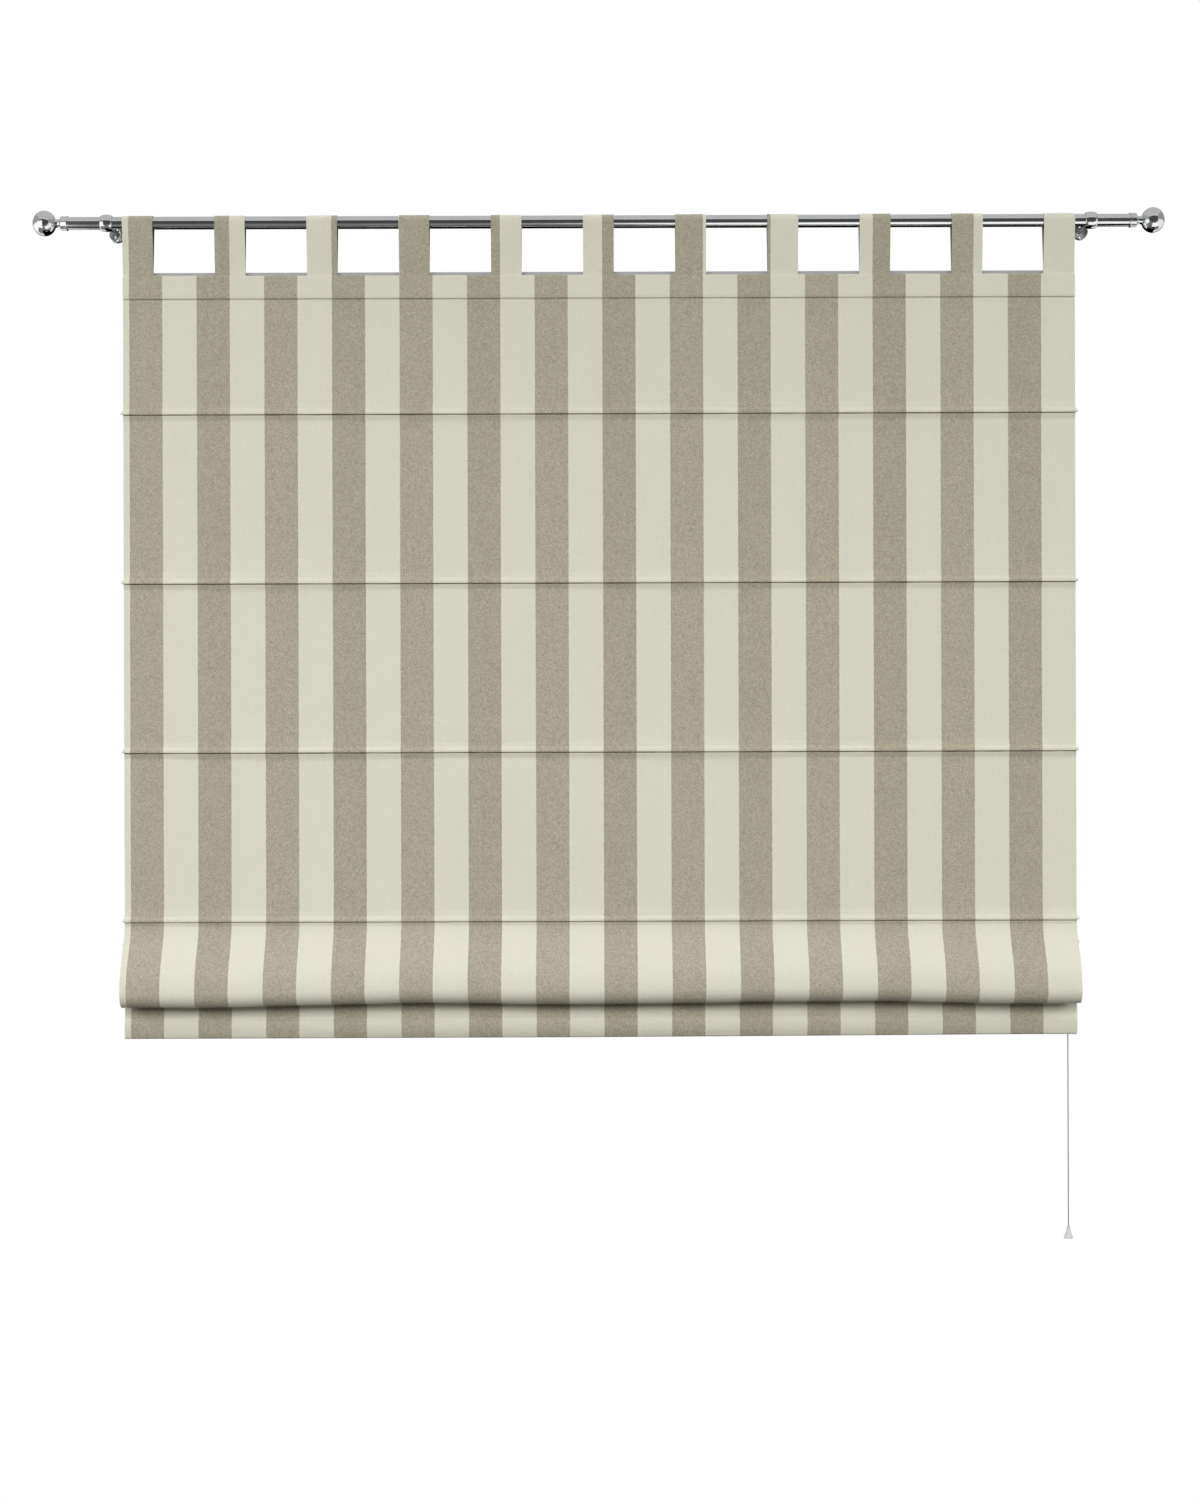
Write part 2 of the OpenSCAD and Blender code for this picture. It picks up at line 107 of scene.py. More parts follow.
CLOTH_COLUMNS = 250
FOLD_COLUMNS = 240
TAB_COLUMNS = 14

SEAM_Z = HEAD_Z - HEADER_H
ROD_Z = [SEAM_Z - FIRST_FOLD - i * FOLD_PITCH for i in range(4)]
ROD_Z.append(ROD_Z[3] - GATHER)
CLOTH_Y = -REACH - 2 * MM
FACE_Y = CLOTH_Y - CLOTH_T / 2
BACK_Y = CLOTH_Y + CLOTH_T / 2
BEAD_Y = FACE_Y - SLIP - ROD_R
LOOP_FRONT_Y = cloth_low.y + CLOTH_T / 2
LOOP_BACK_Y = BEAD_Y - BEAD_R + CLOTH_T / 2
LOOP_R = (LOOP_BACK_Y - LOOP_FRONT_Y) / 2
COLUMNS_X = [2 * HALF_W * (-0.44 + i * 0.88 / 3) for i in range(4)]
LANES_Y = [CORD_Y + (i - 1.5) * (2 * LIFT_R + SNUG) for i in range(4)]
PULL_X = HALF_W - CORD_INSET
RUN_Z = BATTEN_LOW - 7 * MM
BEND_R = 4 * MM
RING_R = CORD_Y - BACK_Y - SLIP - 1 * MM
RING_WIRE = 1 * MM
PULLEY_R = 4.5 * MM
PULLEY_X = PULL_X - PULLEY_R - LIFT_R
PULLEY_Z = RUN_Z - PULLEY_R - LIFT_R
JOINER_H = 24 * MM
JOINER_TOP = BATTEN_LOW - SNUG - 30 * MM - SLIP
BELL_H = 19 * MM
BELL_R = 7.5 * MM
BELL_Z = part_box("cord_bell")[0].z
BELL_TOP = BELL_Z + BELL_H
STOP_R = RING_R - RING_WIRE + 1.2 * MM
STOP_Z = ROD_Z[4] - RING_WIRE - SLIP - STOP_R
BRACKET_X = HALF_W + BRACKET_OFF

FOLD_BODY = ["rod_1", "rod_2", "rod_3", "lower_fold", "lower_fold"]

# Cloth pattern

DARK_W = 52.2 * MM
LIGHT_W = 54.3 * MM
FIRST_LIGHT = 9.8 * MM
THREAD = 0.9 * MM
YARN_SPREAD = 1.35
DARK = (0.385, 0.352, 0.270)
LIGHT = (0.672, 0.656, 0.545)

# The camera of the photograph: level, in front of the blind's middle

CAMERA_DISTANCE = 4.0
CAMERA_X = -0.4 * MM
CAMERA_Z = -0.833
CAMERA_LENS = 60.9
CAMERA_ROLL = math.radians(0.18)


def put(name, data):
    """A new object in the scene."""
    made = bpy.data.objects.new(name, data)
    bpy.context.scene.collection.objects.link(made)
    return made


camera = put("camera", bpy.data.cameras.new("camera"))
camera.location = (CAMERA_X, CLOTH_Y - CAMERA_DISTANCE, CAMERA_Z)
camera.rotation_euler = (math.radians(90), CAMERA_ROLL, 0)
camera.data.lens = CAMERA_LENS
camera.data.sensor_width = 36
bpy.context.scene.camera = camera


# Materials

def material(name, **sockets):
    """A new material, its node tree and its shader, with plain values set on the shader."""
    made = bpy.data.materials.new(name)
    made.use_nodes = True
    shader = made.node_tree.nodes["Principled BSDF"]
    for socket, value in sockets.items():
        shader.inputs[socket.replace("_", " ")].default_value = value
    return made, made.node_tree, shader


def add(tree, kind, props=(), **inputs):
    """A node with its properties set and its inputs given as values or as other nodes' outputs."""
    made = tree.nodes.new(kind)
    for key, value in dict(props).items():
        setattr(made, key, value)
    for key, value in inputs.items():
        socket = made.inputs[int(key[1:])] if key[0] == "i" and key[1:].isdigit() else made.inputs[key]
        if isinstance(value, bpy.types.NodeSocket):
            tree.links.new(value, socket)
        else:
            socket.default_value = value
    return made


def maths(tree, operation, a, b=0.0, c=0.0):
    return add(tree, "ShaderNodeMath", {"operation": operation}, i0=a, i1=b, i2=c).outputs[0]


def place_of(tree):
    return add(tree, "ShaderNodeTexCoord").outputs["Object"]


def noise_of(tree, vector, scale, detail=2.0, rough=0.5):
    made = add(tree, "ShaderNodeTexNoise", Vector=vector, Scale=scale, Detail=detail, Roughness=rough)
    return made.outputs["Fac"]


def stretched(tree, vector, factors):
    return add(tree, "ShaderNodeMapping", {"vector_type": "POINT"}, Vector=vector, Scale=factors).outputs[0]


def remap(tree, value, low, high, to_low, to_high, kind="LINEAR"):
    made = add(tree, "ShaderNodeMapRange", {"interpolation_type": kind}, i0=value)
    for i, v in enumerate((low, high, to_low, to_high)):
        if isinstance(v, bpy.types.NodeSocket):
            tree.links.new(v, made.inputs[i + 1])
        else:
            made.inputs[i + 1].default_value = v
    return made.outputs[0]


def tinted(tree, factor, a, b, kind="MIX"):
    """Mixes two colours, each a value or an output."""
    made = tree.nodes.new("ShaderNodeMix")
    made.data_type = "RGBA"
    made.blend_type = kind
    for index, value in ((0, factor), (6, a), (7, b)):
        if isinstance(value, bpy.types.NodeSocket):
            tree.links.new(value, made.inputs[index])
        elif index:
            made.inputs[index].default_value = (*value, 1)
        else:
            made.inputs[index].default_value = value
    return made.outputs[2]


def coat(tree, shader, colour, rough):
    tree.links.new(colour, shader.inputs["Base Color"])
    tree.links.new(rough, shader.inputs["Roughness"])


def bumped(tree, shader, height, strength, distance):
    bump = add(tree, "ShaderNodeBump", Strength=strength, Distance=distance, Height=height)
    tree.links.new(bump.outputs[0], shader.inputs["Normal"])


def striped_cloth(name, darken=(1.0, 1.0, 1.0)):
    """Woven stripes: their place follows X, and the threads follow the cloth's own surface."""
    made, tree, shader = material(name, Sheen_Weight=0.12, Sheen_Roughness=0.5, Specular_IOR_Level=0.2)
    place = place_of(tree)
    surface = add(tree, "ShaderNodeUVMap", {"uv_map": "weave"}).outputs[0]
    across = add(tree, "ShaderNodeSeparateXYZ", i0=place).outputs[0]
    uv = add(tree, "ShaderNodeSeparateXYZ", i0=surface).outputs
    pitch = DARK_W + LIGHT_W
    shift = 0.25
    wobble = maths(tree, "MULTIPLY_ADD", noise_of(tree, surface, 90.0), 1.0 * MM, -0.5 * MM)
    phase = maths(tree, "MULTIPLY_ADD", maths(tree, "ADD", across, wobble),
                  1 / pitch, (HALF_W - FIRST_LIGHT) / pitch + shift)
    middle = shift + DARK_W / pitch / 2
    half, soft = DARK_W / pitch / 2, 0.5 * MM / pitch
    away = maths(tree, "ABSOLUTE", maths(tree, "SUBTRACT", maths(tree, "FRACT", phase), middle))
    dark = remap(tree, away, half - soft, half + soft, 1.0, 0.0, "SMOOTHSTEP")
    # every other dark stripe is a shade paler
    odd = maths(tree, "PINGPONG", maths(tree, "FLOOR", phase), 1.0)
    paler, deeper = ([c * d * k for c, d in zip(DARK, darken)] for k in (1.02, 0.98))
    tone = tinted(tree, odd, paler, deeper)
    colour = tinted(tree, dark, [c * d for c, d in zip(LIGHT, darken)], tone)
    # plain weave: warp and weft lie on top by turns, and each thread has a shade that drifts along it
    slub = add(tree, "ShaderNodeTexNoise", Vector=surface, Scale=0.7 / THREAD, Detail=1.0).outputs["Color"]
    slub = add(tree, "ShaderNodeSeparateXYZ", i0=slub).outputs
    u = maths(tree, "MULTIPLY_ADD", slub[0], 0.8, maths(tree, "DIVIDE", uv[0], THREAD))
    v = maths(tree, "MULTIPLY_ADD", slub[1], 0.8, maths(tree, "DIVIDE", uv[1], THREAD))
    column, row = maths(tree, "FLOOR", u), maths(tree, "FLOOR", v)
    warp, weft = (
        noise_of(tree, stretched(tree, add(tree, "ShaderNodeCombineXYZ", i0=number, i1=along, i2=seed).outputs[0],
                                 (0.71, 0.30, 1.0)), 1.0, 1.0)
        for number, along, seed in ((column, v, 3.4), (row, u, 8.6)))
    warp_on_top = maths(tree, "PINGPONG", maths(tree, "ADD", column, row), 1.0)
    round_u, round_v = (
        maths(tree, "ABSOLUTE", maths(tree, "SINE", maths(tree, "MULTIPLY", w, math.pi))) for w in (u, v))
    warp_form = maths(tree, "MULTIPLY", round_u, maths(tree, "POWER", round_v, 0.3))
    weft_form = maths(tree, "MULTIPLY", round_v, maths(tree, "POWER", round_u, 0.3))
    over = remap(tree, warp_on_top, 0.0, 1.0, weft_form, warp_form)
    yarn = remap(tree, warp_on_top, 0.0, 1.0, weft, warp)
    cloud = noise_of(tree, surface, 26.0, 3.0)
    shade = maths(tree, "MULTIPLY_ADD", yarn, YARN_SPREAD, 1 - YARN_SPREAD / 2)
    # each thread is painted darker towards its edges: painted shade where it dips under the crossing threads
    shade = maths(tree, "MULTIPLY", shade, maths(tree, "MULTIPLY_ADD", over, 0.34, 0.82))
    shade = maths(tree, "MULTIPLY", shade, maths(tree, "MULTIPLY_ADD", cloud, 0.10, 0.95))
    # the light stripes show their threads less
    strength = remap(tree, dark, 0.0, 1.0, 0.15, 1.0)
    shade = maths(tree, "MULTIPLY_ADD", maths(tree, "SUBTRACT", shade, 1.0), strength, 1.0)
    grey = add(tree, "ShaderNodeCombineXYZ", i0=shade, i1=shade, i2=shade).outputs[0]
    coat(tree, shader, tinted(tree, 1.0, colour, grey, "MULTIPLY"), maths(tree, "MULTIPLY_ADD", yarn, 0.12, 0.82))
    bumped(tree, shader, over, 0.35, 0.25 * MM)
    return made


def satin_chrome():
    made, tree, shader = material("satin_chrome", Metallic=1.0)
    place = place_of(tree)
    fine = noise_of(tree, stretched(tree, place, (12.0, 700.0, 700.0)), 1.0, 3.0)
    smudge = noise_of(tree, place, 22.0, 4.0)
    rough = maths(tree, "MULTIPLY_ADD", smudge, 0.06, 0.07)
    coat(tree, shader, tinted(tree, smudge, (0.70, 0.71, 0.72), (0.80, 0.81, 0.82)),
         maths(tree, "MULTIPLY_ADD", fine, 0.06, rough))
    bumped(tree, shader, fine, 0.02, 0.02 * MM)
    return made


def plain_metal(name, low, high, rough, grain):
    """Metal drawn or brushed along X, with a grain of that many lines a metre."""
    made, tree, shader = material(name, Metallic=1.0)
    place = place_of(tree)
    lines = noise_of(tree, stretched(tree, place, (6.0, grain, grain)), 1.0, 4.0)
    coat(tree, shader, tinted(tree, lines, low, high), maths(tree, "MULTIPLY_ADD", lines, 0.25, rough))
    bumped(tree, shader, lines, 0.12, 0.1 * MM)
    return made


def moulded(name, low, high, rough, **sockets):
    """Plastic with a faint moulded grain."""
    made, tree, shader = material(name, **sockets)
    place = place_of(tree)
    cloud = noise_of(tree, place, 60.0, 3.0)
    grain = noise_of(tree, place, 2400.0, 2.0)
    coat(tree, shader, tinted(tree, cloud, low, high), maths(tree, "MULTIPLY_ADD", grain, 0.15, rough))
    bumped(tree, shader, grain, 0.08, 0.08 * MM)
    return made


def spun(name, low, high, lay, strength):
    """Thread and cord: strands that wind along the piece's own length."""
    made, tree, shader = material(name, Sheen_Weight=0.15, Specular_IOR_Level=0.25)
    uv = add(tree, "ShaderNodeSeparateXYZ", i0=add(tree, "ShaderNodeUVMap", {"uv_map": "weave"}).outputs[0]).outputs
    place = place_of(tree)
    turns = maths(tree, "MULTIPLY_ADD", uv[1], 1 / lay, uv[0])
    strand = maths(tree, "ABSOLUTE", maths(tree, "SINE", maths(tree, "MULTIPLY", turns, 2 * math.pi)))
    fuzz = noise_of(tree, place, 3000.0, 2.0)
    # the colour is lighter on the strands' crowns and darker between them: painted shade in the grooves
    mixed = maths(tree, "MULTIPLY_ADD", fuzz, 0.4, maths(tree, "MULTIPLY", strand, 0.6))
    coat(tree, shader, tinted(tree, mixed, low, high), maths(tree, "MULTIPLY_ADD", fuzz, 0.2, 0.7))
    bumped(tree, shader, mixed, strength, 0.3 * MM)
    return made


def pile_tape():
    made, tree, shader = material("tape_pile", Sheen_Weight=0.2)
    place = place_of(tree)
    loops = add(tree, "ShaderNodeTexVoronoi", Vector=place, Scale=900.0).outputs["Distance"]
    coat(tree, shader, tinted(tree, loops, (0.62, 0.62, 0.60), (0.86, 0.86, 0.84)),
         maths(tree, "MULTIPLY_ADD", loops, 0.2, 0.75))
    bumped(tree, shader, loops, 0.6, 0.6 * MM)
    return made


CLOTH = striped_cloth("striped_cloth")
# a darkened copy of the cloth: painted shade for the slits under the rods and the insides of the tabs
CLOTH_PAINTED_SHADE = striped_cloth("striped_cloth_painted_shade", (0.36, 0.34, 0.27))
THREADS = striped_cloth("sewing_thread", (0.82, 0.82, 0.82))
CHROME = satin_chrome()
STEEL = plain_metal("zinc_steel", (0.52, 0.53, 0.54), (0.68, 0.69, 0.70), 0.28, 700.0)
COATED = moulded("coated_aluminium", (0.33, 0.33, 0.34), (0.41, 0.41, 0.42), 0.45)
BRASS = plain_metal("turned_brass", (0.62, 0.44, 0.17), (0.78, 0.60, 0.28), 0.25, 900.0)
WHITE = moulded("white_plastic", (0.78, 0.78, 0.76), (0.84, 0.84, 0.82), 0.35)
BELL_WHITE = moulded("bell_plastic", (0.60, 0.62, 0.61), (0.68, 0.70, 0.69), 0.35)
MILKY = moulded("milky_plastic", (0.74, 0.77, 0.77), (0.84, 0.86, 0.86), 0.25, Transmission_Weight=0.35)
FIBRE = moulded("rod_fibre", (0.70, 0.70, 0.62), (0.80, 0.80, 0.72), 0.4)
CORD = spun("white_cord", (0.62, 0.62, 0.60), (0.86, 0.86, 0.84), 4 * MM, 0.5)
# the white pull cord is coloured dark grey: painted shade for the shade it hangs in
PULL_CORD = spun("pull_cord", (0.15, 0.15, 0.15), (0.34, 0.34, 0.33), 4 * MM, 0.5)
TAPE = pile_tape()


# Mesh helpers

class Shape:
    """Collects vertices, faces and surface coordinates, and makes one piece of them."""

    def __init__(self):
        self.verts, self.faces, self.uvs = [], [], []

    def take(self, verts, faces, uvs=None):
        start = len(self.verts)
        self.verts += [tuple(v) for v in verts]
        self.faces += [tuple(i + start for i in f) for f in faces]
        self.uvs += [tuple(c) for c in uvs] if uvs is not None else [(v[0], v[2]) for v in verts]
        return self

    def piece(self, name, finish, body, nodes=(), slot=None, sharp=35.0):
        mesh = bpy.data.meshes.new(name)
        mesh.from_pydata(self.verts, [], self.faces)
        form = bmesh.new()
        form.from_mesh(mesh)
        bmesh.ops.recalc_face_normals(form, faces=form.faces)
        form.to_mesh(mesh)
        form.free()
        layer = mesh.uv_layers.new(name="weave")
        corner = np.zeros(len(mesh.loops), np.int32)
        mesh.loops.foreach_get("vertex_index", corner)
        layer.data.foreach_set("uv", np.array(self.uvs, np.float32)[corner].ravel())
        mesh.shade_smooth()
        mesh.set_sharp_from_angle(angle=math.radians(sharp))
        mesh.materials.append(finish)
        made = put(name, mesh)
        if body:
            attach(made, body)
        if nodes:
            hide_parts(*nodes)
        return made


def grid_faces(rows, columns, start=0, flip=False):
    """Quads over rows + 1 by columns + 1 points."""
    wide = columns + 1
    quads = []
    for i in range(rows):
        for j in range(columns):
            a = start + i * wide + j
            quad = (a, a + wide, a + wide + 1, a + 1)
            quads.append(quad[::-1] if flip else quad)
    return quads


def ribbon(shape, line, x0, x1, columns, thick, warp=None, origin=0.0):
    """Cloth of an even thickness that follows a line of (y, z) points and runs from x0 to x1.

    warp(x, y, z) gives how far each point is pushed out along the cloth's own normal, and how far it rises.
    """
    p = np.array(line, float)
    along = np.gradient(p, axis=0)
    along /= np.linalg.norm(along, axis=1)[:, None]
    normal = np.stack([along[:, 1], -along[:, 0]], 1)
    length = np.concatenate([[0], np.cumsum(np.linalg.norm(np.diff(p, axis=0), axis=1))])
    xs = np.linspace(x0, x1, columns + 1)
    x = np.repeat(xs[None], len(p), 0)
    y = np.repeat(p[:, :1], columns + 1, 1)
    z = np.repeat(p[:, 1:], columns + 1, 1)
    out, rise = warp(x, y, z) if warp else (np.zeros_like(x), np.zeros_like(x))
    sides = []
    for side in (1, -1):
        push = out + side * thick / 2
        sides.append(np.stack([x, y + normal[:, :1] * push, z + normal[:, 1:] * push + rise], 2).reshape(-1, 3))
    rows, wide = len(p) - 1, columns + 1
    count = len(p) * wide
    faces = grid_faces(rows, columns) + grid_faces(rows, columns, count, True)
    rim = [i * wide for i in range(len(p))]
    rim += [rows * wide + j for j in range(1, wide)]
    rim += [i * wide + columns for i in range(rows - 1, -1, -1)]
    rim += list(range(columns - 1, 0, -1))
    for a, b in zip(rim, rim[1:] + rim[:1]):
        faces.append((a, b, b + count, a + count))
    uv = np.stack([x, np.repeat(length[:, None] + origin, wide, 1)], 2).reshape(-1, 2)
    return shape.take(np.concatenate(sides), faces, np.concatenate([uv, uv]))


AXES = {"X": (1, 2, 0), "Y": (2, 0, 1), "Z": (0, 1, 2)}


def lathe(shape, profile, axis, at, segments=48, closed=False):
    """Turns (radius, length) points round an axis through a point. closed joins the last to the first."""
    first, second, third = AXES[axis]
    verts, rings, uvs = [], [], []
    for radius, height in profile:
        steps = segments if radius > 1e-7 else 1
        rings.append(range(len(verts), len(verts) + steps))
        for k in range(steps):
            w = 2 * math.pi * k / segments
            point = [0.0, 0.0, 0.0]
            point[first] = at[first] + radius * math.cos(w)
            point[second] = at[second] + radius * math.sin(w)
            point[third] = at[third] + height
            verts.append(point)
            uvs.append((k / segments, height))
    faces = []
    pairs = list(zip(rings, rings[1:])) + ([(rings[-1], rings[0])] if closed else [])
    for a, b in pairs:
        for k in range(segments):
            n = (k + 1) % segments
            face = [a[k % len(a)], a[n % len(a)], b[n % len(b)], b[k % len(b)]]
            face = [v for i, v in enumerate(face) if v not in face[:i]]
            if len(face) > 2:
                faces.append(face)
    if not closed:
        for ring in (rings[0], rings[-1]):
            if len(ring) > 2:
                faces.append(list(ring))
    return shape.take(verts, faces, uvs)


def scaled(*points):
    """(radius, length) points that are given in millimetres."""
    return [(r * MM, h * MM) for r, h in points]


def bar_profile(inner, radius, half):
    """A round bar or tube with broken edges, for lathe."""
    return [(inner, -half), (radius - EDGE, -half), (radius, -half + EDGE),
            (radius, half - EDGE), (radius - EDGE, half), (inner, half)]


def mirrored(points, side):
    """A profile for the right side, or turned about for the left."""
    return [(r, side * h) for r, h in points]


def tube(shape, points, radius, sides=8, lobes=0, lay=1.0, depth=0.0):
    """A cord along points. With lobes it is twisted from that many strands, each turn lay long."""
    p = np.array(points, float)
    along = np.gradient(p, axis=0)
    along /= np.linalg.norm(along, axis=1)[:, None]
    length = np.concatenate([[0], np.cumsum(np.linalg.norm(np.diff(p, axis=0), axis=1))])
    side = np.cross(along, (0.0, 1.0, 0.0))
    side /= np.linalg.norm(side, axis=1)[:, None]
    other = np.cross(along, side)
    w = np.linspace(0, 2 * np.pi, sides, endpoint=False)
    twist = 2 * np.pi * length[:, None] / (lay * max(lobes, 1))
    reach = radius * (1 - depth + depth * np.cos(lobes * (w[None] - twist)))
    ring = (np.cos(w)[None] * reach)[:, :, None] * side[:, None]
    ring += (np.sin(w)[None] * reach)[:, :, None] * other[:, None]
    verts = (p[:, None] + ring).reshape(-1, 3)
    faces = []
    for i in range(len(p) - 1):
        for k in range(sides):
            n = (k + 1) % sides
            faces.append((i * sides + k, i * sides + n, (i + 1) * sides + n, (i + 1) * sides + k))
    faces.append(tuple(range(sides)))
    faces.append(tuple(range((len(p) - 1) * sides, len(p) * sides)))
    uv = np.stack([np.repeat(w[None] / (2 * np.pi), len(p), 0), np.repeat(length[:, None], sides, 1)], 2)
    return shape.take(verts, faces, uv.reshape(-1, 2))


def stitches(shape, starts, along, out, long=2.5 * MM, radius=0.27 * MM):
    """A row of stitches: short threads whose ends dip into the cloth."""
    along, out = np.array(along, float), np.array(out, float)
    across = np.cross(along, out)
    stations = ((-0.5, 0.35, -0.6), (-0.3, 0.9, 0.25), (0.0, 1.0, 0.5), (0.3, 0.9, 0.25), (0.5, 0.35, -0.6))
    corners = 5
    for start in starts:
        verts = []
        for t, thick, lift in stations:
            centre = np.array(start) + along * t * long + out * lift * radius
            for k in range(corners):
                w = 2 * math.pi * k / corners
                verts.append(centre + radius * thick * (math.cos(w) * out + math.sin(w) * across))
        faces = [tuple(range(corners)), tuple(range(4 * corners, 5 * corners))]
        for i in range(len(stations) - 1):
            for k in range(corners):
                n = (k + 1) % corners
                a, b = i * corners, (i + 1) * corners
                faces.append((a + k, a + n, b + n, b + k))
        shape.take(verts, faces)
    return shape


def dressed(node, finish, body, bevel):
    """A copy of a solid with its edges broken, in place of the solid."""
    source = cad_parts[node]
    mesh = source.data.copy()
    mesh.name = node + "_dressed"
    form = bmesh.new()
    form.from_mesh(mesh)
    bmesh.ops.remove_doubles(form, verts=form.verts, dist=1e-7)
    bmesh.ops.dissolve_limit(form, angle_limit=math.radians(1), verts=form.verts, edges=form.edges)
    edges = [e for e in form.edges if len(e.link_faces) == 2 and e.calc_face_angle() > math.radians(40)]
    bmesh.ops.bevel(form, geom=edges, offset=bevel, segments=2, profile=0.6, affect="EDGES", clamp_overlap=True)
    bmesh.ops.recalc_face_normals(form, faces=form.faces)
    form.to_mesh(mesh)
    form.free()
    mesh.materials.clear()
    mesh.materials.append(finish)
    mesh.shade_smooth()
    mesh.set_sharp_from_angle(angle=math.radians(30))
    made = put(node + "_dressed", mesh)
    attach(made, body)
    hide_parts(node)


def smooth(t):
    t = np.clip(t, 0, 1)
    return t * t * (3 - 2 * t)


def ripple(x, z, scale, seed):
    """An even, repeatable unevenness between about -1 and 1, with waves about scale long."""
    draw = np.random.default_rng(seed)
    total = np.zeros_like(x)
    for _ in range(7):
        turn, wave = draw.uniform(0, 2 * np.pi, 2)
        k = 2 * np.pi / (scale * draw.uniform(0.7, 1.6))
        total += np.sin(k * (x * np.cos(turn) + z * np.sin(turn)) + wave)
    return total / 3.2


def drape(x, points):
    """A smooth curve over X through (x, value) points."""
    fine = np.linspace(-HALF_W, HALF_W, 301)
    window = np.hanning(33)
    level = np.pad(np.interp(fine, *zip(*points)), 16, mode="edge")
    return np.interp(x, fine, np.convolve(level, window / window.sum(), mode="valid"))


def arc(cy, cz, radius, start, stop, steps):
    """(y, z) points on a circle. Angles are in degrees from the front towards the top."""
    return [(cy - radius * math.cos(math.radians(a)), cz + radius * math.sin(math.radians(a)))
            for a in np.linspace(start, stop, steps + 1)]


def straight(a, b, steps):
    """(y, z) points from a up to, but without, b."""
    return [(a[0] + (b[0] - a[0]) * i / steps, a[1] + (b[1] - a[1]) * i / steps) for i in range(steps)]


# Cords, with the bell and the joiner

pull_path = [(PULL_X, CORD_Y, z) for z in np.arange(JOINER_TOP - JOINER_H + 9 * MM, BELL_TOP - 8 * MM, -0.5 * MM)]
pull_cord = tube(Shape(), pull_path, PULL_R, sides=15, lobes=3, lay=2.4 * MM, depth=0.13).piece(
    "pull_cord_twisted", PULL_CORD, "pull", ["pull_cord"], "white_cord", sharp=80)

BELL_NECK_R = 2.6 * MM
BELL_SEAT = BELL_H - 5 * MM
bell_line = [(BELL_R - 0.5 * MM, 0), (BELL_R, 0.4 * MM)]
for i in range(1, 25):
    t = i / 24
    bell_line.append((BELL_R - (BELL_R - BELL_NECK_R) * math.sin(math.pi / 2 * t) ** 1.15,
                      0.4 * MM + (BELL_H - 0.8 * MM) * t))
# and down inside, past the cord's way and the knot's seat
bell_line += [(2.2 * MM, BELL_H), (1.2 * MM, BELL_H - 0.3 * MM), (1.2 * MM, BELL_SEAT), (2.8 * MM, BELL_SEAT)]
bell_line += [(2.8 * MM + (BELL_R - 4.7 * MM) * t, BELL_SEAT - (BELL_H - 7.5 * MM) * t)
              for t in (0.25, 0.5, 0.75, 1.0)]
bell_line.append((BELL_R - 1.2 * MM, 0.2 * MM))
bell = lathe(Shape(), bell_line, "Z", (PULL_X, CORD_Y, BELL_Z), 48, closed=True).piece(
    "bell_turned", BELL_WHITE, "pull", ["cord_bell"], "bell_plastic")

knot = Shape()
for turn in range(3):
    z = BELL_TOP - 6.2 * MM - turn * 1.3 * MM
    loop = [(PULL_X + 1.35 * MM * math.cos(w), CORD_Y + 1.35 * MM * math.sin(w), z + 0.4 * MM * math.sin(w + turn))
            for w in np.linspace(0, 2 * math.pi, 25)]
    tube(knot, loop, 0.8 * MM)
bell_knot = knot.piece("knot_wound", CORD, "pull", ["bell_knot"], "white_cord")

joiner_line = scaled(
    (1.15, 0), (3.0, 0), (3.5, 0.3), (4.0, 1.1), (4.5, 2.3), (4.9, 3.8), (5, 5), (5, 10.6), (4.7, 10.9), (4.7, 11.6),
    (5, 11.9), (5, 21.5), (4.8, 22.8), (4.3, 23.7), (3.9, 24), (3.6, 24), (3.45, 23.7), (3.45, 8), (1.15, 4.5))
cord_joiner = lathe(Shape(), joiner_line, "Z", (PULL_X, CORD_Y, JOINER_TOP - JOINER_H), 40, closed=True).piece(
    "joiner_turned", WHITE, "pull", ["cord_joiner"], "white_plastic")

for i in range(4):
    x, y, node = COLUMNS_X[i], LANES_Y[i], f"lift_cord_{i + 1}"
    low = STOP_Z - STOP_R - 5 * MM
    drop = tube(Shape(), [(x, y, z) for z in np.linspace(RUN_Z - BEND_R, low, 420)], LIFT_R).piece(
        f"{node}_drop", CORD, "fixed", [node], "white_cord")
    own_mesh(drop)
    bend = [(x + BEND_R - BEND_R * math.cos(w), y, RUN_Z - BEND_R + BEND_R * math.sin(w))
            for w in np.linspace(0, math.pi / 2, 9)]
    level = [(u, y, RUN_Z) for u in np.linspace(x + BEND_R, PULLEY_X, 30)[1:-1]]
    over = [(PULLEY_X + (PULLEY_R + LIFT_R) * math.sin(w), y, PULLEY_Z + (PULLEY_R + LIFT_R) * math.cos(w))
            for w in np.linspace(0, math.pi / 2, 13)]
    tube(Shape(), bend + level + over, LIFT_R).piece(f"{node}_head", CORD, "fixed", [node], "white_cord")
    end = tube(Shape(), [(PULL_X, y, z) for z in np.linspace(PULLEY_Z, JOINER_TOP - 10 * MM, 24)], LIFT_R).piece(
        f"{node}_end", CORD, None, [node], "white_cord")
    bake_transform(end)

# Cloth between the header's seam and the fourth rod

LEAN = 1.3 * MM
LEAN_H = 70 * MM
BELLY = 1.0 * MM
TUCK = 1.5 * MM


def lean(up):
    """How far the cloth comes forward at a height above a rod, as it runs out over the rod."""
    return LEAN * np.where(up >= 0, 1 - smooth(up / LEAN_H), smooth(1 + up / (5 * MM)))


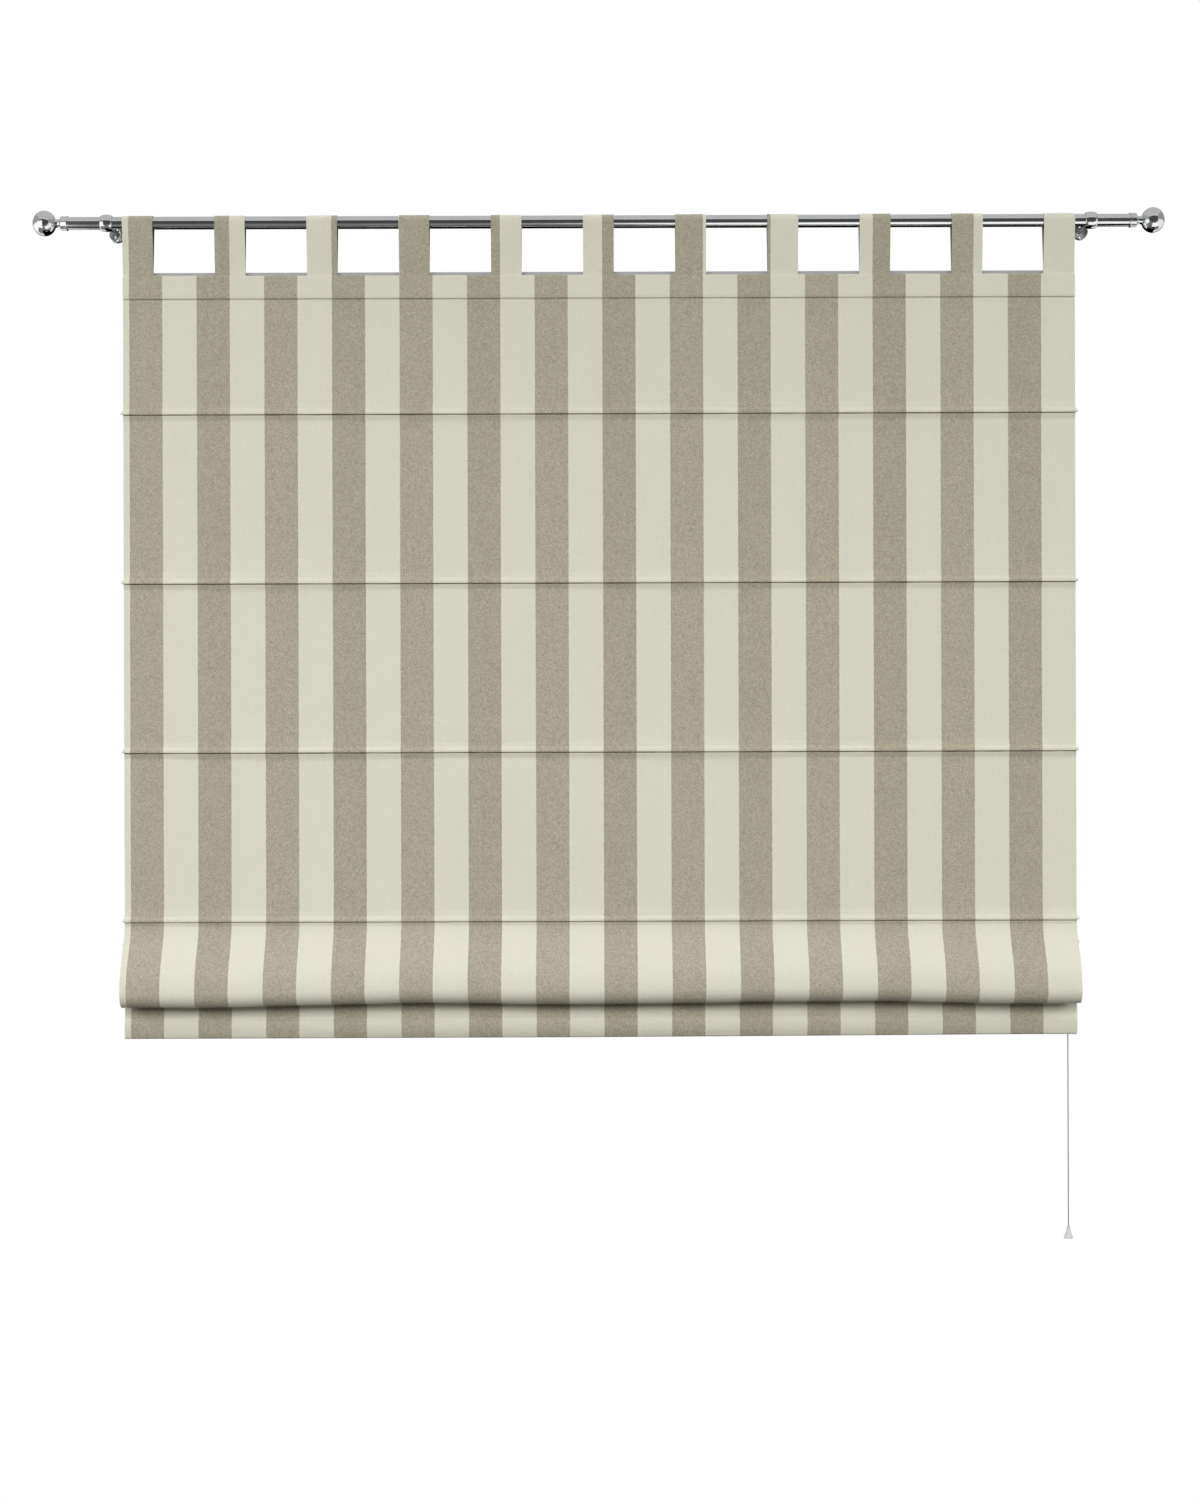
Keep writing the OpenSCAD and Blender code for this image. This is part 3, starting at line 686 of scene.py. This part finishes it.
def panel_warp(x, y, z):
    wave = 0.9 * MM * ripple(x, z, 0.42, 3) + 0.28 * MM * ripple(x, z, 0.12, 4)
    form = np.zeros_like(z)
    for top, low in zip([SEAM_Z] + ROD_Z[:3], ROD_Z[:4]):
        wave += BELLY * np.sin(np.pi * np.clip((top - z) / (top - low), 0, 1))
        form += np.where((z - low > -5 * MM) & (z - low < LEAN_H), lean(z - low), 0.0)
    for level in [SEAM_Z] + ROD_Z[:4]:
        wave *= 0.1 + 0.9 * smooth(np.abs(z - level) / (40 * MM))
    # just under the header the cloth is sewn back
    under = SEAM_Z - z
    form -= TUCK * (1 - smooth(under / (4 * MM)))
    form += np.where(under > 0, 0.9 * MM * smooth(under / (5 * MM)) * (1 - smooth(under / (40 * MM))), 0.0)
    return wave + form, np.zeros_like(z)


panel_rows = [SEAM_Z + d * MM for d in (4, 1, 0, -1, -2, -3, -4, -5, -7)]
for top, low in zip([SEAM_Z] + ROD_Z[:3], ROD_Z[:4]):
    for t in np.linspace(0, 1, 23)[1:]:
        panel_rows.append(top + (low - top) * (0.35 * t + 0.65 * (0.5 - 0.5 * math.cos(math.pi * t))))
    panel_rows += [low - 2 * MM, low - 5 * MM, low - 9 * MM] if low > ROD_Z[3] else []
panel_rows = sorted(set(panel_rows), reverse=True)
panel_line = [(CLOTH_Y, z) for z in panel_rows]
panels = ribbon(Shape(), panel_line, -HALF_W, HALF_W, CLOTH_COLUMNS, CLOTH_T, panel_warp).piece(
    "cloth_panels", CLOTH, "fixed", ["blind_cloth"], "striped_cloth")
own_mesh(panels)

# Side hems on the back

hems = Shape()
for side in (-1, 1):
    a, b = sorted((side * (HALF_W - 0.4 * MM), side * (HALF_W - SIDE_HEM_W)))
    rows = [(BACK_Y + 0.35 * MM, z) for z in panel_rows[2:]]
    ribbon(hems, rows, a, b, 10, 0.7 * MM, panel_warp)
side_hems = hems.piece("side_hems", CLOTH, "fixed", ["blind_cloth"], "striped_cloth")
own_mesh(side_hems)

# Header band: the cloth turned over at its top edge

fold_r = (HEADER_STEP + 0.2 * MM) / 2
front_y = FACE_Y - HEADER_STEP + CLOTH_T / 2
header_line = straight((CLOTH_Y, SEAM_Z + 3 * MM), (CLOTH_Y, HEAD_Z - CLOTH_T / 2 - fold_r), 6)
header_line += arc((CLOTH_Y + front_y) / 2, HEAD_Z - CLOTH_T / 2 - fold_r, (CLOTH_Y - front_y) / 2, 180, 0, 10)
header_line += straight((front_y, HEAD_Z - 3 * MM), (front_y, SEAM_Z + 0.6 * MM), 16)
header_line += arc(front_y + 0.5 * MM, SEAM_Z + 0.6 * MM, 0.5 * MM, 0, -90, 5)
header_line.append((front_y + 0.9 * MM, SEAM_Z + 0.1 * MM))


def header_warp(x, y, z):
    free = smooth((z - SEAM_Z) / (6 * MM)) * smooth((HEAD_Z - z) / (4 * MM))
    front = np.where(y < (CLOTH_Y + front_y) / 2, 1.0, 0.0)
    push = front * free * (0.45 * MM + 0.3 * MM * ripple(x, z, 0.10, 8)) + 0.12 * MM * ripple(x, z, 0.3, 9)
    return push, np.zeros_like(z)


header = ribbon(Shape(), header_line, -HALF_W, HALF_W, CLOTH_COLUMNS, CLOTH_T, header_warp).piece(
    "cloth_header", CLOTH, "fixed", ["blind_cloth"], "striped_cloth")

# Rod pockets: the cloth runs out over each rod and turns in sharply under it

POCKET_H = 19.5 * MM
POCKET_T = 0.8 * MM
LIP_R = 1.2 * MM
CREST_H = 5.5 * MM
CREASE = 0.42
SLIT = 2.0 * MM
LIP_BACK = 2.0 * MM
BELOW_H = 12 * MM
pocket_mid_r = BEAD_R - POCKET_T / 2
lip_front = BEAD_Y - pocket_mid_r
lip_low = -ROD_R - SLIP - POCKET_T / 2


def pocket_y(up):
    """Where the pocket's cloth runs at a height above its rod: slowly out, then out to a crest over the rod."""
    sunk = FACE_Y - float(lean(np.array(POCKET_H))) + POCKET_T / 2 + 0.15 * MM
    crease = sunk + CREASE * (lip_front - sunk)
    if up > CREST_H:
        return sunk + (crease - sunk) * ((POCKET_H - up) / (POCKET_H - CREST_H)) ** 1.5
    return crease + (lip_front - crease) * math.sin(math.pi / 2 * (1 - up / CREST_H)) ** 1.3


def pocket_warp(seed):
    def warp(x, y, z):
        return 0.12 * MM * ripple(x, 0 * z, 0.05, seed) + 0.1 * MM * ripple(x, z, 0.3, seed + 7), np.zeros_like(z)
    return warp


for i in range(4):
    z = ROD_Z[i]
    line = []
    for u in np.concatenate([np.linspace(POCKET_H, CREST_H, 14), np.linspace(CREST_H, 0, 9)[1:]]):
        line.append((pocket_y(u), z + u))
    line += arc(lip_front + LIP_R, z + lip_low + LIP_R, LIP_R, 0, -90, 7)
    line += [(lip_front + 2.2 * MM, z + lip_low), (lip_front + 3.2 * MM, z + lip_low - 0.1 * MM)]
    line += arc(lip_front + 3.2 * MM, z + lip_low - SLIT / 2, SLIT / 2 - 0.1 * MM, 90, 270, 8)[1:]
    # out of the slit, and then slowly back to the face
    out = lip_front + LIP_BACK
    line += [(out + 0.6 * MM, z + lip_low - SLIT), (out + 0.1 * MM, z + lip_low - SLIT - 0.1 * MM)]
    below = FACE_Y + POCKET_T if i < 3 else FACE_Y - LEAN + POCKET_T
    for t in np.linspace(0.02, 1, 16):
        line.append((below + (out - below) * (1 - t) ** 1.7, z + lip_low - SLIT - 0.3 * MM - BELOW_H * t))
    sewn = ribbon(Shape(), line, -HALF_W, HALF_W, CLOTH_COLUMNS, POCKET_T, pocket_warp(20 + i), SEAM_Z - z - POCKET_H)
    pocket = sewn.piece(f"rod_pocket_{i + 1}", CLOTH, FOLD_BODY[i], ["blind_cloth"], "striped_cloth", sharp=60)
    # the slit's faces take the darkened cloth: painted shade inside the slit
    pocket.data.materials.append(CLOTH_PAINTED_SHADE)
    for face in pocket.data.polygons:
        up = face.center.z - z - lip_low
        if -SLIT - 0.5 * MM < up < 0.5 * MM and face.center.y > lip_front + LIP_BACK + 0.2 * MM:
            face.material_index = 1

# The drawn up fold, the tail and the bottom hem

fold_start = (CLOTH_Y - LEAN, ROD_Z[3])
full = (LOOP_FRONT_Y, ROD_Z[3] - LOOP_DROP)
pull_in = [np.array(p) for p in (fold_start, (fold_start[0], ROD_Z[3] - 0.36 * LOOP_DROP),
                                 (LOOP_FRONT_Y + 1 * MM, ROD_Z[3] - 0.54 * LOOP_DROP), full)]
fold_line = []
for t in np.linspace(0, 1, 41)[:-1]:
    weights = ((1 - t) ** 3, 3 * t * (1 - t) ** 2, 3 * t * t * (1 - t), t ** 3)
    fold_line.append(tuple(sum(w * p for w, p in zip(weights, pull_in))))
fold_line += arc(LOOP_FRONT_Y + LOOP_R, full[1], LOOP_R, 0, -180, 36)
fold_line += straight((LOOP_BACK_Y, full[1] + 3 * MM), (LOOP_BACK_Y, ROD_Z[4]), 12)
fold_line += arc(BEAD_Y, ROD_Z[4], BEAD_Y - LOOP_BACK_Y, 0, 180, 12)
hem_front, hem_back = CLOTH_Y - (HEM_T - CLOTH_T) / 2, CLOTH_Y + (HEM_T - CLOTH_T) / 2
hem_top = HEM_Z + HEM_H
fold_line += straight((BEAD_Y * 0.2 + CLOTH_Y * 0.8, ROD_Z[4] - 6 * MM), (CLOTH_Y, hem_top + 3 * MM), 20)
fold_line += straight((CLOTH_Y, hem_top + 3 * MM), (hem_front, hem_top - 5 * MM), 6)
fold_line += straight((hem_front, hem_top - 5 * MM), (hem_front, HEM_Z + HEM_T / 2), 10)
fold_line += arc(CLOTH_Y, HEM_Z + HEM_T / 2, (HEM_T - CLOTH_T) / 2, 0, -180, 12)
fold_line += straight((hem_back, HEM_Z + HEM_T / 2 + 2 * MM), (hem_back, hem_top - 5 * MM), 8)
fold_line += straight((hem_back, hem_top - 5 * MM), (BACK_Y + CLOTH_T * 0.65, hem_top - 0.5 * MM), 4)
fold_line.append((BACK_Y + CLOTH_T * 0.65, hem_top + 0.5 * MM))


# how much higher than its line the fold hangs across the width, and how much the hem rises to the right
FOLD_RISE_MM = (-1.5, -2.2, 0.9, 5.2, 2.8, 1.2, 3.6, 4.9, 6.0, 1.8, 0.2)
FOLD_RISE = [(k * 0.15 - 0.75, v * MM) for k, v in enumerate(FOLD_RISE_MM)]
HEM_RISE = [(-HALF_W, 0.0), (0.0, 0.8 * MM), (HALF_W, 3.6 * MM)]
# how far the bottom hem bellies out between its ends
BELLY_D = [(-HALF_W, 3.0 * MM), (-0.4, 5.4 * MM), (0.0, 6.6 * MM), (0.4, 5.6 * MM), (HALF_W, 2.4 * MM)]
BELLY_H = 21 * MM


def hem_belly(x, z):
    """The hem's front comes forward above its lower edge and eases back towards the fold."""
    up = (z - HEM_Z) / BELLY_H
    return drape(x, BELLY_D) * (1 - np.clip(1 - up, 0, 1) ** 2.3) * (1 - smooth((up - 1) / 2.2))


def fold_warp(x, y, z):
    behind = smooth((y - CLOTH_Y + 4 * MM) / (2 * MM))
    loop = smooth((CLOTH_Y - 9 * MM - y) / (20 * MM))
    start = smooth((ROD_Z[3] - z) / (30 * MM))
    low = smooth((ROD_Z[3] - 12 * MM - z) / (75 * MM))
    tail = behind * smooth((ROD_Z[4] - 15 * MM - z) / (60 * MM))
    push = start * loop * (0.8 * MM * ripple(x, 0.2 * z, 0.35, 12) + 0.3 * MM * ripple(x, z, 0.11, 13))
    push += tail * (1 - loop) * 0.5 * MM * ripple(x, 0.3 * z, 0.3, 14) * smooth((z - HEM_Z - HEM_H) / (20 * MM))
    push += np.where((behind > 0.5) & (y < CLOTH_Y + 0.1 * MM) & (z < ROD_Z[4] - 10 * MM), hem_belly(x, z), 0.0)
    rise = (1 - behind) * low * drape(x, FOLD_RISE) + tail * drape(x, HEM_RISE)
    return push, rise


fold = ribbon(Shape(), fold_line, -HALF_W, HALF_W, FOLD_COLUMNS, CLOTH_T, fold_warp, SEAM_Z - ROD_Z[3]).piece(
    "cloth_fold", CLOTH, "lower_fold", ["blind_cloth"], "striped_cloth", sharp=60)

# Tabs over the pole

TAB_MID_R = POLE_R + SLIP + TAB_T / 2
TAB_FRONT_Y = BACK_Y + SNUG + TAB_T / 2
TAB_BACK_Y = TAB_FRONT_Y + TAB_T
TAB_JOIN_Z = HEAD_Z + SLIP


def touch_angle(y, turn):
    """Angle of the point where a straight run from (y, tab join) meets the tab's arc over the pole."""
    dy, dz = y + REACH, TAB_JOIN_Z
    return math.degrees(math.atan2(dz, dy) + turn * math.acos(TAB_MID_R / math.hypot(dy, dz)))


tab_front = touch_angle(TAB_FRONT_Y, -1) + 360
tab_back = touch_angle(TAB_BACK_Y, 1)
over_pole = [(-REACH + TAB_MID_R * math.cos(math.radians(a)), TAB_MID_R * math.sin(math.radians(a)))
             for a in np.linspace(tab_front, tab_back, 45)]
tab_line = straight((TAB_FRONT_Y, HEAD_Z - TAB_TAIL), (TAB_FRONT_Y, TAB_JOIN_Z), 6)
tab_line += straight((TAB_FRONT_Y, TAB_JOIN_Z), over_pole[0], 16) + over_pole
tab_line += straight(over_pole[-1], (TAB_BACK_Y, TAB_JOIN_Z), 16)[1:]
tab_line += straight((TAB_BACK_Y, TAB_JOIN_Z), (TAB_BACK_Y, HEAD_Z - TAB_TAIL), 6)
tab_line.append((TAB_BACK_Y, HEAD_Z - TAB_TAIL))
tab_pitch = (2 * HALF_W - TAB_W) / (TAB_N - 1)
TAB_DRAW = 2.2 * MM
for i in range(TAB_N):
    across = i / (TAB_N - 1)
    x0 = -HALF_W + i * tab_pitch + TAB_DRAW * 0.4 * across
    x1 = -HALF_W + i * tab_pitch + TAB_W - TAB_DRAW * (1 - 0.8 * across)

    def tab_warp(x, y, z, seed=40 + i, left=x0):
        free = smooth((z - HEAD_Z) / (15 * MM)) * smooth((2 * MM - z) / (20 * MM))
        edge = np.abs((x - left) / TAB_W * 2 - 1)
        push = -free * (0.5 * MM * (1 - edge ** 2) + 0.5 * MM * ripple(x, z, 0.09, seed)) - 0.06 * MM
        return push, np.zeros_like(z)

    tab = ribbon(Shape(), tab_line, x0, x1, TAB_COLUMNS, TAB_T - 0.1 * MM, tab_warp).piece(
        f"tab_{i + 1}_sewn", CLOTH, "fixed", [f"tab_{i + 1}"], "striped_cloth", sharp=60)
    # the faces towards the pole come first, and they take the darkened cloth: painted shade inside the loop
    tab.data.materials.append(CLOTH_PAINTED_SHADE)
    for face in tab.data.polygons[:TAB_COLUMNS * (len(tab_line) - 1)]:
        face.material_index = 1

# Stitching

PITCH = 3.4 * MM
POCKET_SEAM = 9 * MM
ALONG_X, TO_ROOM, TO_WALL = (1, 0, 0), (0, -1, 0), (0, 1, 0)
seam_x = np.arange(-HALF_W + 3 * MM, HALF_W - 2 * MM, PITCH)
header_seam = [(x, front_y - CLOTH_T / 2 - 0.05 * MM, SEAM_Z + 2.6 * MM) for x in seam_x]
header_thread = stitches(Shape(), header_seam, ALONG_X, TO_ROOM).piece(
    "header_stitching", THREADS, "fixed", ["blind_cloth"], "striped_cloth")
for i in range(4):
    y = pocket_y(POCKET_SEAM) - POCKET_T / 2
    pocket_seam = [(x, y, ROD_Z[i] + POCKET_SEAM) for x in seam_x]
    stitches(Shape(), pocket_seam, ALONG_X, TO_ROOM).piece(
        f"pocket_stitching_{i + 1}", THREADS, FOLD_BODY[i], ["blind_cloth"], "striped_cloth")
hem_rows = Shape()
hem_seam = hem_top + 1.2 * MM
hem_lift = drape(seam_x, HEM_RISE)
hem_out = hem_belly(seam_x, np.full_like(seam_x, hem_seam))
front_row = [(x, FACE_Y - 0.25 * MM - out, hem_seam + d) for x, d, out in zip(seam_x, hem_lift, hem_out)]
back_row = [(x, BACK_Y + CLOTH_T * 1.2, hem_top - 0.6 * MM + d) for x, d in zip(seam_x, hem_lift)]
stitches(hem_rows, front_row, ALONG_X, TO_ROOM)
stitches(hem_rows, back_row, ALONG_X, TO_WALL)
hem_thread = hem_rows.piece("hem_stitching", THREADS, "lower_fold", ["blind_cloth"], "striped_cloth")

# Pole, finials and brackets

pole_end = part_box("pole")[1].x
bore = POLE_R - POLE_WALL
lathe(Shape(), bar_profile(bore, POLE_R, pole_end), "X", (0, -REACH, 0), 96, closed=True).piece(
    "pole_tube", CHROME, "fixed", ["pole"], "satin_chrome")

COLLAR_X = BRACKET_X + 60.5 * MM
COLLAR_L = 12 * MM
NECK_L = 8.4 * MM
BALL_L = 37 * MM
BALL_R = 20 * MM
BALL_X = COLLAR_X + COLLAR_L + NECK_L + BALL_L / 2 - 1.5 * MM
collar_profile = scaled(
    (10.15, 0), (11.3, 0), (11.55, 0.15), (11.7, 0.5), (11.7, 1.9), (11.55, 2.3), (11.2, 2.6), (11.1, 3.0),
    (11.1, 10.2), (11.0, 10.7), (10.6, 11.2), (9.6, 11.9), (8.4, 12.0), (7.4, 12.2), (6.9, 12.9),
    (6.5, 14.4), (6.4, 16.2), (6.5, 18.2), (7.0, 20.2), (7.0, 20.3), (3, 20.3), (3, 31.4), (0, 31.4))
ball_cut = COLLAR_X + COLLAR_L + NECK_L - BALL_X
ball_from = math.acos(ball_cut / (BALL_L / 2))
ball_profile = [(3.1 * MM, ball_cut + 12 * MM), (3.1 * MM, ball_cut)]
ball_profile += [(BALL_R * math.sin(w), BALL_L / 2 * math.cos(w)) for w in np.linspace(ball_from, 0, 49)]
ring_profile = [(10.15 * MM, -9.0 * MM), (10.6 * MM, -9.25 * MM)]
ring_profile += [(10.9 * MM + 2.6 * MM * math.sin(w), -9.25 * MM * math.cos(w)) for w in np.linspace(0, math.pi, 33)]
ring_profile += [(10.6 * MM, 9.25 * MM), (10.15 * MM, 9.0 * MM)]
arm_profile = scaled(
    (0, -1.5), (3.9, -1.5), (4.25, -1.9), (4.25, -6.6), (4.05, -7.0), (4.25, -7.4), (4.25, -76), (4.5, -79),
    (5.3, -81.5), (5.3, -82.4), (0, -82.4))

for name, side in (("left", -1), ("right", 1)):
    lathe(Shape(), mirrored(collar_profile, side), "X", (side * COLLAR_X, -REACH, 0), 72).piece(
        f"collar_{name}", CHROME, "fixed", [f"finial_collar_{name}"], "satin_chrome")
    lathe(Shape(), mirrored(ball_profile, side), "X", (side * BALL_X, -REACH, 0), 72).piece(
        f"ball_{name}", CHROME, "fixed", [f"finial_ball_{name}"], "satin_chrome")
    holder = lathe(Shape(), ring_profile, "X", (side * BRACKET_X, -REACH, 0), 72, closed=True)
    lathe(holder, arm_profile, "Y", (side * BRACKET_X, 0, 0), 48)
    holder.piece(f"bracket_{name}_turned", CHROME, "fixed", [f"bracket_{name}"], "satin_chrome")
    dressed(f"wall_rose_{name}", CHROME, "fixed", 0.35 * MM)

screws = Shape()
for side in (-1, 1):
    at = (side * BRACKET_X, -REACH, -POLE_R - 3.2 * MM)
    lathe(screws, scaled((0, 1.6), (1.1, 1.6), (1.1, 0), (1.6, 0), (1.9, 0.3), (1.9, 3.1), (0, 3.1)), "Z", at, 6)
screws.piece("grub_screws_turned", STEEL, "fixed", ["grub_screws"], "steel")

# Head parts

dressed("head_batten", COATED, "fixed", 0.4 * MM)
dressed("hook_tape", TAPE, "fixed", 0.3 * MM)
dressed("cord_lock", WHITE, "fixed", 0.25 * MM)
dressed("lock_pawl", BRASS, "lock_pawl", 0.15 * MM)
dressed("lock_pins", STEEL, "fixed", 0.12 * MM)
dressed("lock_screws", STEEL, "fixed", 0.12 * MM)

drum_line = scaled((1.48, -3.55), (4.2, -3.55), (4.5, -3.3), (4.5, 3.3), (4.2, 3.55), (1.48, 3.55))
lathe(Shape(), drum_line, "Y", (PULLEY_X, CORD_Y, PULLEY_Z), 48, closed=True).piece(
    "pulley_turned", BRASS, "lock_pulley", ["lock_pulley"], "brass")


def wire_ring(shape, at, axis, radius, wire, around=40, sides=14):
    profile = [(radius + wire * math.cos(w), wire * math.sin(w))
               for w in np.linspace(0, 2 * math.pi, sides, endpoint=False)]
    return lathe(shape, profile, axis, at, around, closed=True)


eyes = Shape()
for x in COLUMNS_X:
    at = (x + 8 * MM, CORD_Y, RUN_Z)
    wire_ring(eyes, at, "X", 4.6 * MM, 0.9 * MM)
    thread = [(0, 4.6 * MM), (1.15 * MM, 4.6 * MM), (1.15 * MM, 8 * MM)]
    for k in range(10):
        thread += [(1.2 * MM, 8.2 * MM + k * MM), (0.85 * MM, 8.7 * MM + k * MM)]
    lathe(eyes, thread + [(0.2 * MM, 19 * MM), (0, 19 * MM)], "Z", at, 20)
eyes.piece("screw_eyes_bent", STEEL, "fixed", ["screw_eyes"], "steel")

# Rods with their caps, rings and ties

TIE_R = 1.35 * MM
TIE_Y = CORD_Y - RING_R
rod_half = HALF_W + 2.8 * MM
cap_line = scaled((2.05, 0.3), (2.6, 0.3), (2.9, 0.6), (2.9, 2.6), (2.7, 3.2), (2.2, 3.65), (1.2, 3.8), (0, 3.8),
                  (0, 2.9), (2.05, 2.9))
for i in range(ROD_N):
    z, body = ROD_Z[i], FOLD_BODY[i]
    lathe(Shape(), bar_profile(0, ROD_R, rod_half), "X", (0, BEAD_Y, z), 24).piece(
        f"rod_{i + 1}_drawn", FIBRE, body, [f"rod_{i + 1}"], "rod_fibre")
    caps = Shape()
    for side in (-1, 1):
        lathe(caps, mirrored(cap_line, side), "X", (side * HALF_W, BEAD_Y, z), 28)
    caps.piece(f"rod_caps_{i + 1}_moulded", WHITE, body, [f"rod_caps_{i + 1}"], "white_plastic")
    rings, ties = Shape(), Shape()
    for x in COLUMNS_X:
        wire_ring(rings, (x, CORD_Y, z), "Z", RING_R, RING_WIRE)
        for shift in (-1.1 * MM, 0, 1.1 * MM):
            loop = [(x + shift, TIE_Y + TIE_R * math.cos(w), z + TIE_R * math.sin(w))
                    for w in np.linspace(0, 2 * math.pi, 19)]
            tube(ties, loop, 0.22 * MM, 6)
    rings.piece(f"cord_rings_{i + 1}_moulded", MILKY, body, [f"cord_rings_{i + 1}"], "clear_plastic")
    ties.piece(f"ring_ties_{i + 1}", CORD, body, [], "white_cord")

stops = Shape()
stop_line = [(STOP_R * math.sin(w), STOP_R * math.cos(w)) for w in np.linspace(0, math.pi, 25)]
for x in COLUMNS_X:
    lathe(stops, stop_line, "Z", (x, CORD_Y, STOP_Z), 40)
stops.piece("cord_stops_moulded", WHITE, "lower_fold", ["cord_stops"], "white_plastic")
dressed("bottom_bar", STEEL, "lower_fold", 0.4 * MM)
dressed("bottom_bar_caps", WHITE, "lower_fold", 0.4 * MM)

# Floor, light and surroundings

FLOOR_Z = -2.52
FLOOR_SIZE = 7.0
FLOOR_FAR_Y = 1.0
floor_mesh = bpy.data.meshes.new("floor")
half = FLOOR_SIZE / 2
floor_mesh.from_pydata([(-half, FLOOR_FAR_Y - FLOOR_SIZE, FLOOR_Z), (half, FLOOR_FAR_Y - FLOOR_SIZE, FLOOR_Z),
                        (half, FLOOR_FAR_Y, FLOOR_Z), (-half, FLOOR_FAR_Y, FLOOR_Z)], [], [(0, 1, 2, 3)])
floor = put("floor", floor_mesh)
floor_finish, floor_tree, floor_shader = material("pale_floor", Roughness=0.7, Specular_IOR_Level=0.0)
floor_place = place_of(floor_tree)
floor_pale = tinted(floor_tree, noise_of(floor_tree, floor_place, 3.0, 4.0), (0.78, 0.78, 0.77), (0.84, 0.84, 0.83))
floor_seen = add(floor_tree, "ShaderNodeLightPath").outputs["Is Camera Ray"]
floor_shade = tinted(floor_tree, floor_seen, (0.22, 0.22, 0.22), floor_pale)
floor_tree.links.new(floor_shade, floor_shader.inputs["Base Color"])
floor_mesh.materials.append(floor_finish)


def softbox(name, at, aim, size, power, spread):
    """A rectangular lamp whose light is kept within a spread, in degrees."""
    lamp = bpy.data.lights.new(name, "AREA")
    lamp.shape = "RECTANGLE"
    lamp.size, lamp.size_y = size
    lamp.energy = power
    lamp.spread = math.radians(spread)
    made = put(name, lamp)
    made.location = at
    made.rotation_euler = (Vector(aim) - Vector(at)).to_track_quat("-Z", "Y").to_euler()
    made.visible_glossy = False


def card(name, corners, level):
    """A flat card out of sight, seen only in the metal's reflections."""
    mesh = bpy.data.meshes.new(name)
    mesh.from_pydata(corners, [], [(0, 1, 2, 3)])
    finish = bpy.data.materials.new(name)
    finish.use_nodes = True
    finish.node_tree.nodes.clear()
    glow = add(finish.node_tree, "ShaderNodeEmission", Color=(level, level, level, 1), Strength=1.0)
    add(finish.node_tree, "ShaderNodeOutputMaterial", Surface=glow.outputs[0])
    mesh.materials.append(finish)
    made = put(name, mesh)
    made.visible_camera = made.visible_diffuse = made.visible_shadow = made.visible_transmission = False


AIM = (0, CLOTH_Y, -1.35)
softbox("key_front", (-0.3, -3.3, 0.1), AIM, (3.4, 1.2), 25, 120)
softbox("fill_left", (-3.0, -2.2, -0.1), AIM, (1.6, 1.2), 21, 120)
softbox("fill_right", (3.0, -2.2, -0.1), AIM, (1.6, 1.2), 18, 120)
softbox("back", (0.3, 2.6, 0.2), (0, CLOTH_Y, -0.7), (3.0, 1.4), 26, 120)
softbox("top", (0, 0.5, 1.3), (0, -REACH, 0), (2.2, 0.3), 3, 100)


def level_card(name, x0, x1, y0, y1, z, level):
    card(name, [(x0, y0, z), (x1, y0, z), (x1, y1, z), (x0, y1, z)], level)


def upright_card(name, x0, x1, y, z0, z1, level):
    card(name, [(x0, y, z0), (x1, y, z0), (x1, y, z1), (x0, y, z1)], level)


CARD_LOW = FLOOR_Z + 0.05
upright_card("card_front", -7, 7, -5.6, -2.4, 3.4, 0.07)
upright_card("card_back", -5, 5, 2.6, CARD_LOW, 3.0, 0.45)
upright_card("card_back_low", -1.35, 1.45, 2.5, CARD_LOW, 0.45, 0.0)
upright_card("card_left_near", -2.0, -0.935, -0.45, -0.45, 0.1, 1.3)
level_card("card_ceiling", -6, 6, -4.2, 2.5, 3.0, 0.58)
level_card("card_under", -1.35, 1.45, -0.8, 2.5, CARD_LOW, 0.0)
for name, outline, level in (("right", ((-0.2, -3.6), (6, -3.6), (6, -0.8), (0.3, -0.8)), 1.2),
                             ("left", ((-6, -3.6), (-0.2, -3.6), (0.3, -0.8), (-6, -0.8)), 0.22)):
    card("card_floor_" + name, [(x, y, CARD_LOW) for x, y in outline], level)
for name, x, low, high, level in (("left_low", -4, CARD_LOW, 0.1, 1.3), ("left_high", -4, 0.1, 3.0, 0.4),
                                  ("right_low", 4, CARD_LOW, 0.1, 1.0), ("right_high", 4, 0.1, 3.0, 0.35)):
    card("card_" + name, [(x, -3.6, low), (x, 2.6, low), (x, 2.6, high), (x, -3.6, high)], level)

# The world is white to the camera and in metal and plastic. On cloth it gives a soft light, more from above.
world = bpy.data.worlds.new("studio")
bpy.context.scene.world = world
world.use_nodes = True
sky = world.node_tree
sky.nodes.clear()
rays = add(sky, "ShaderNodeLightPath").outputs
height = add(sky, "ShaderNodeSeparateXYZ", i0=add(sky, "ShaderNodeTexCoord").outputs["Generated"]).outputs[2]
ambient = add(sky, "ShaderNodeBackground", Color=(1, 1, 1, 1), Strength=remap(sky, height, -0.1, 0.7, 0.0, 0.7))
white = add(sky, "ShaderNodeBackground", Color=(1, 1, 1, 1), Strength=1.0)
shown = maths(sky, "MAXIMUM", rays["Is Camera Ray"], rays["Is Glossy Ray"])
shown = maths(sky, "MAXIMUM", shown, rays["Is Transmission Ray"])
seen = add(sky, "ShaderNodeMixShader", i0=shown, i1=ambient.outputs[0], i2=white.outputs[0])
add(sky, "ShaderNodeOutputWorld", Surface=seen.outputs[0])

bpy.context.scene.view_settings.view_transform = "Standard"
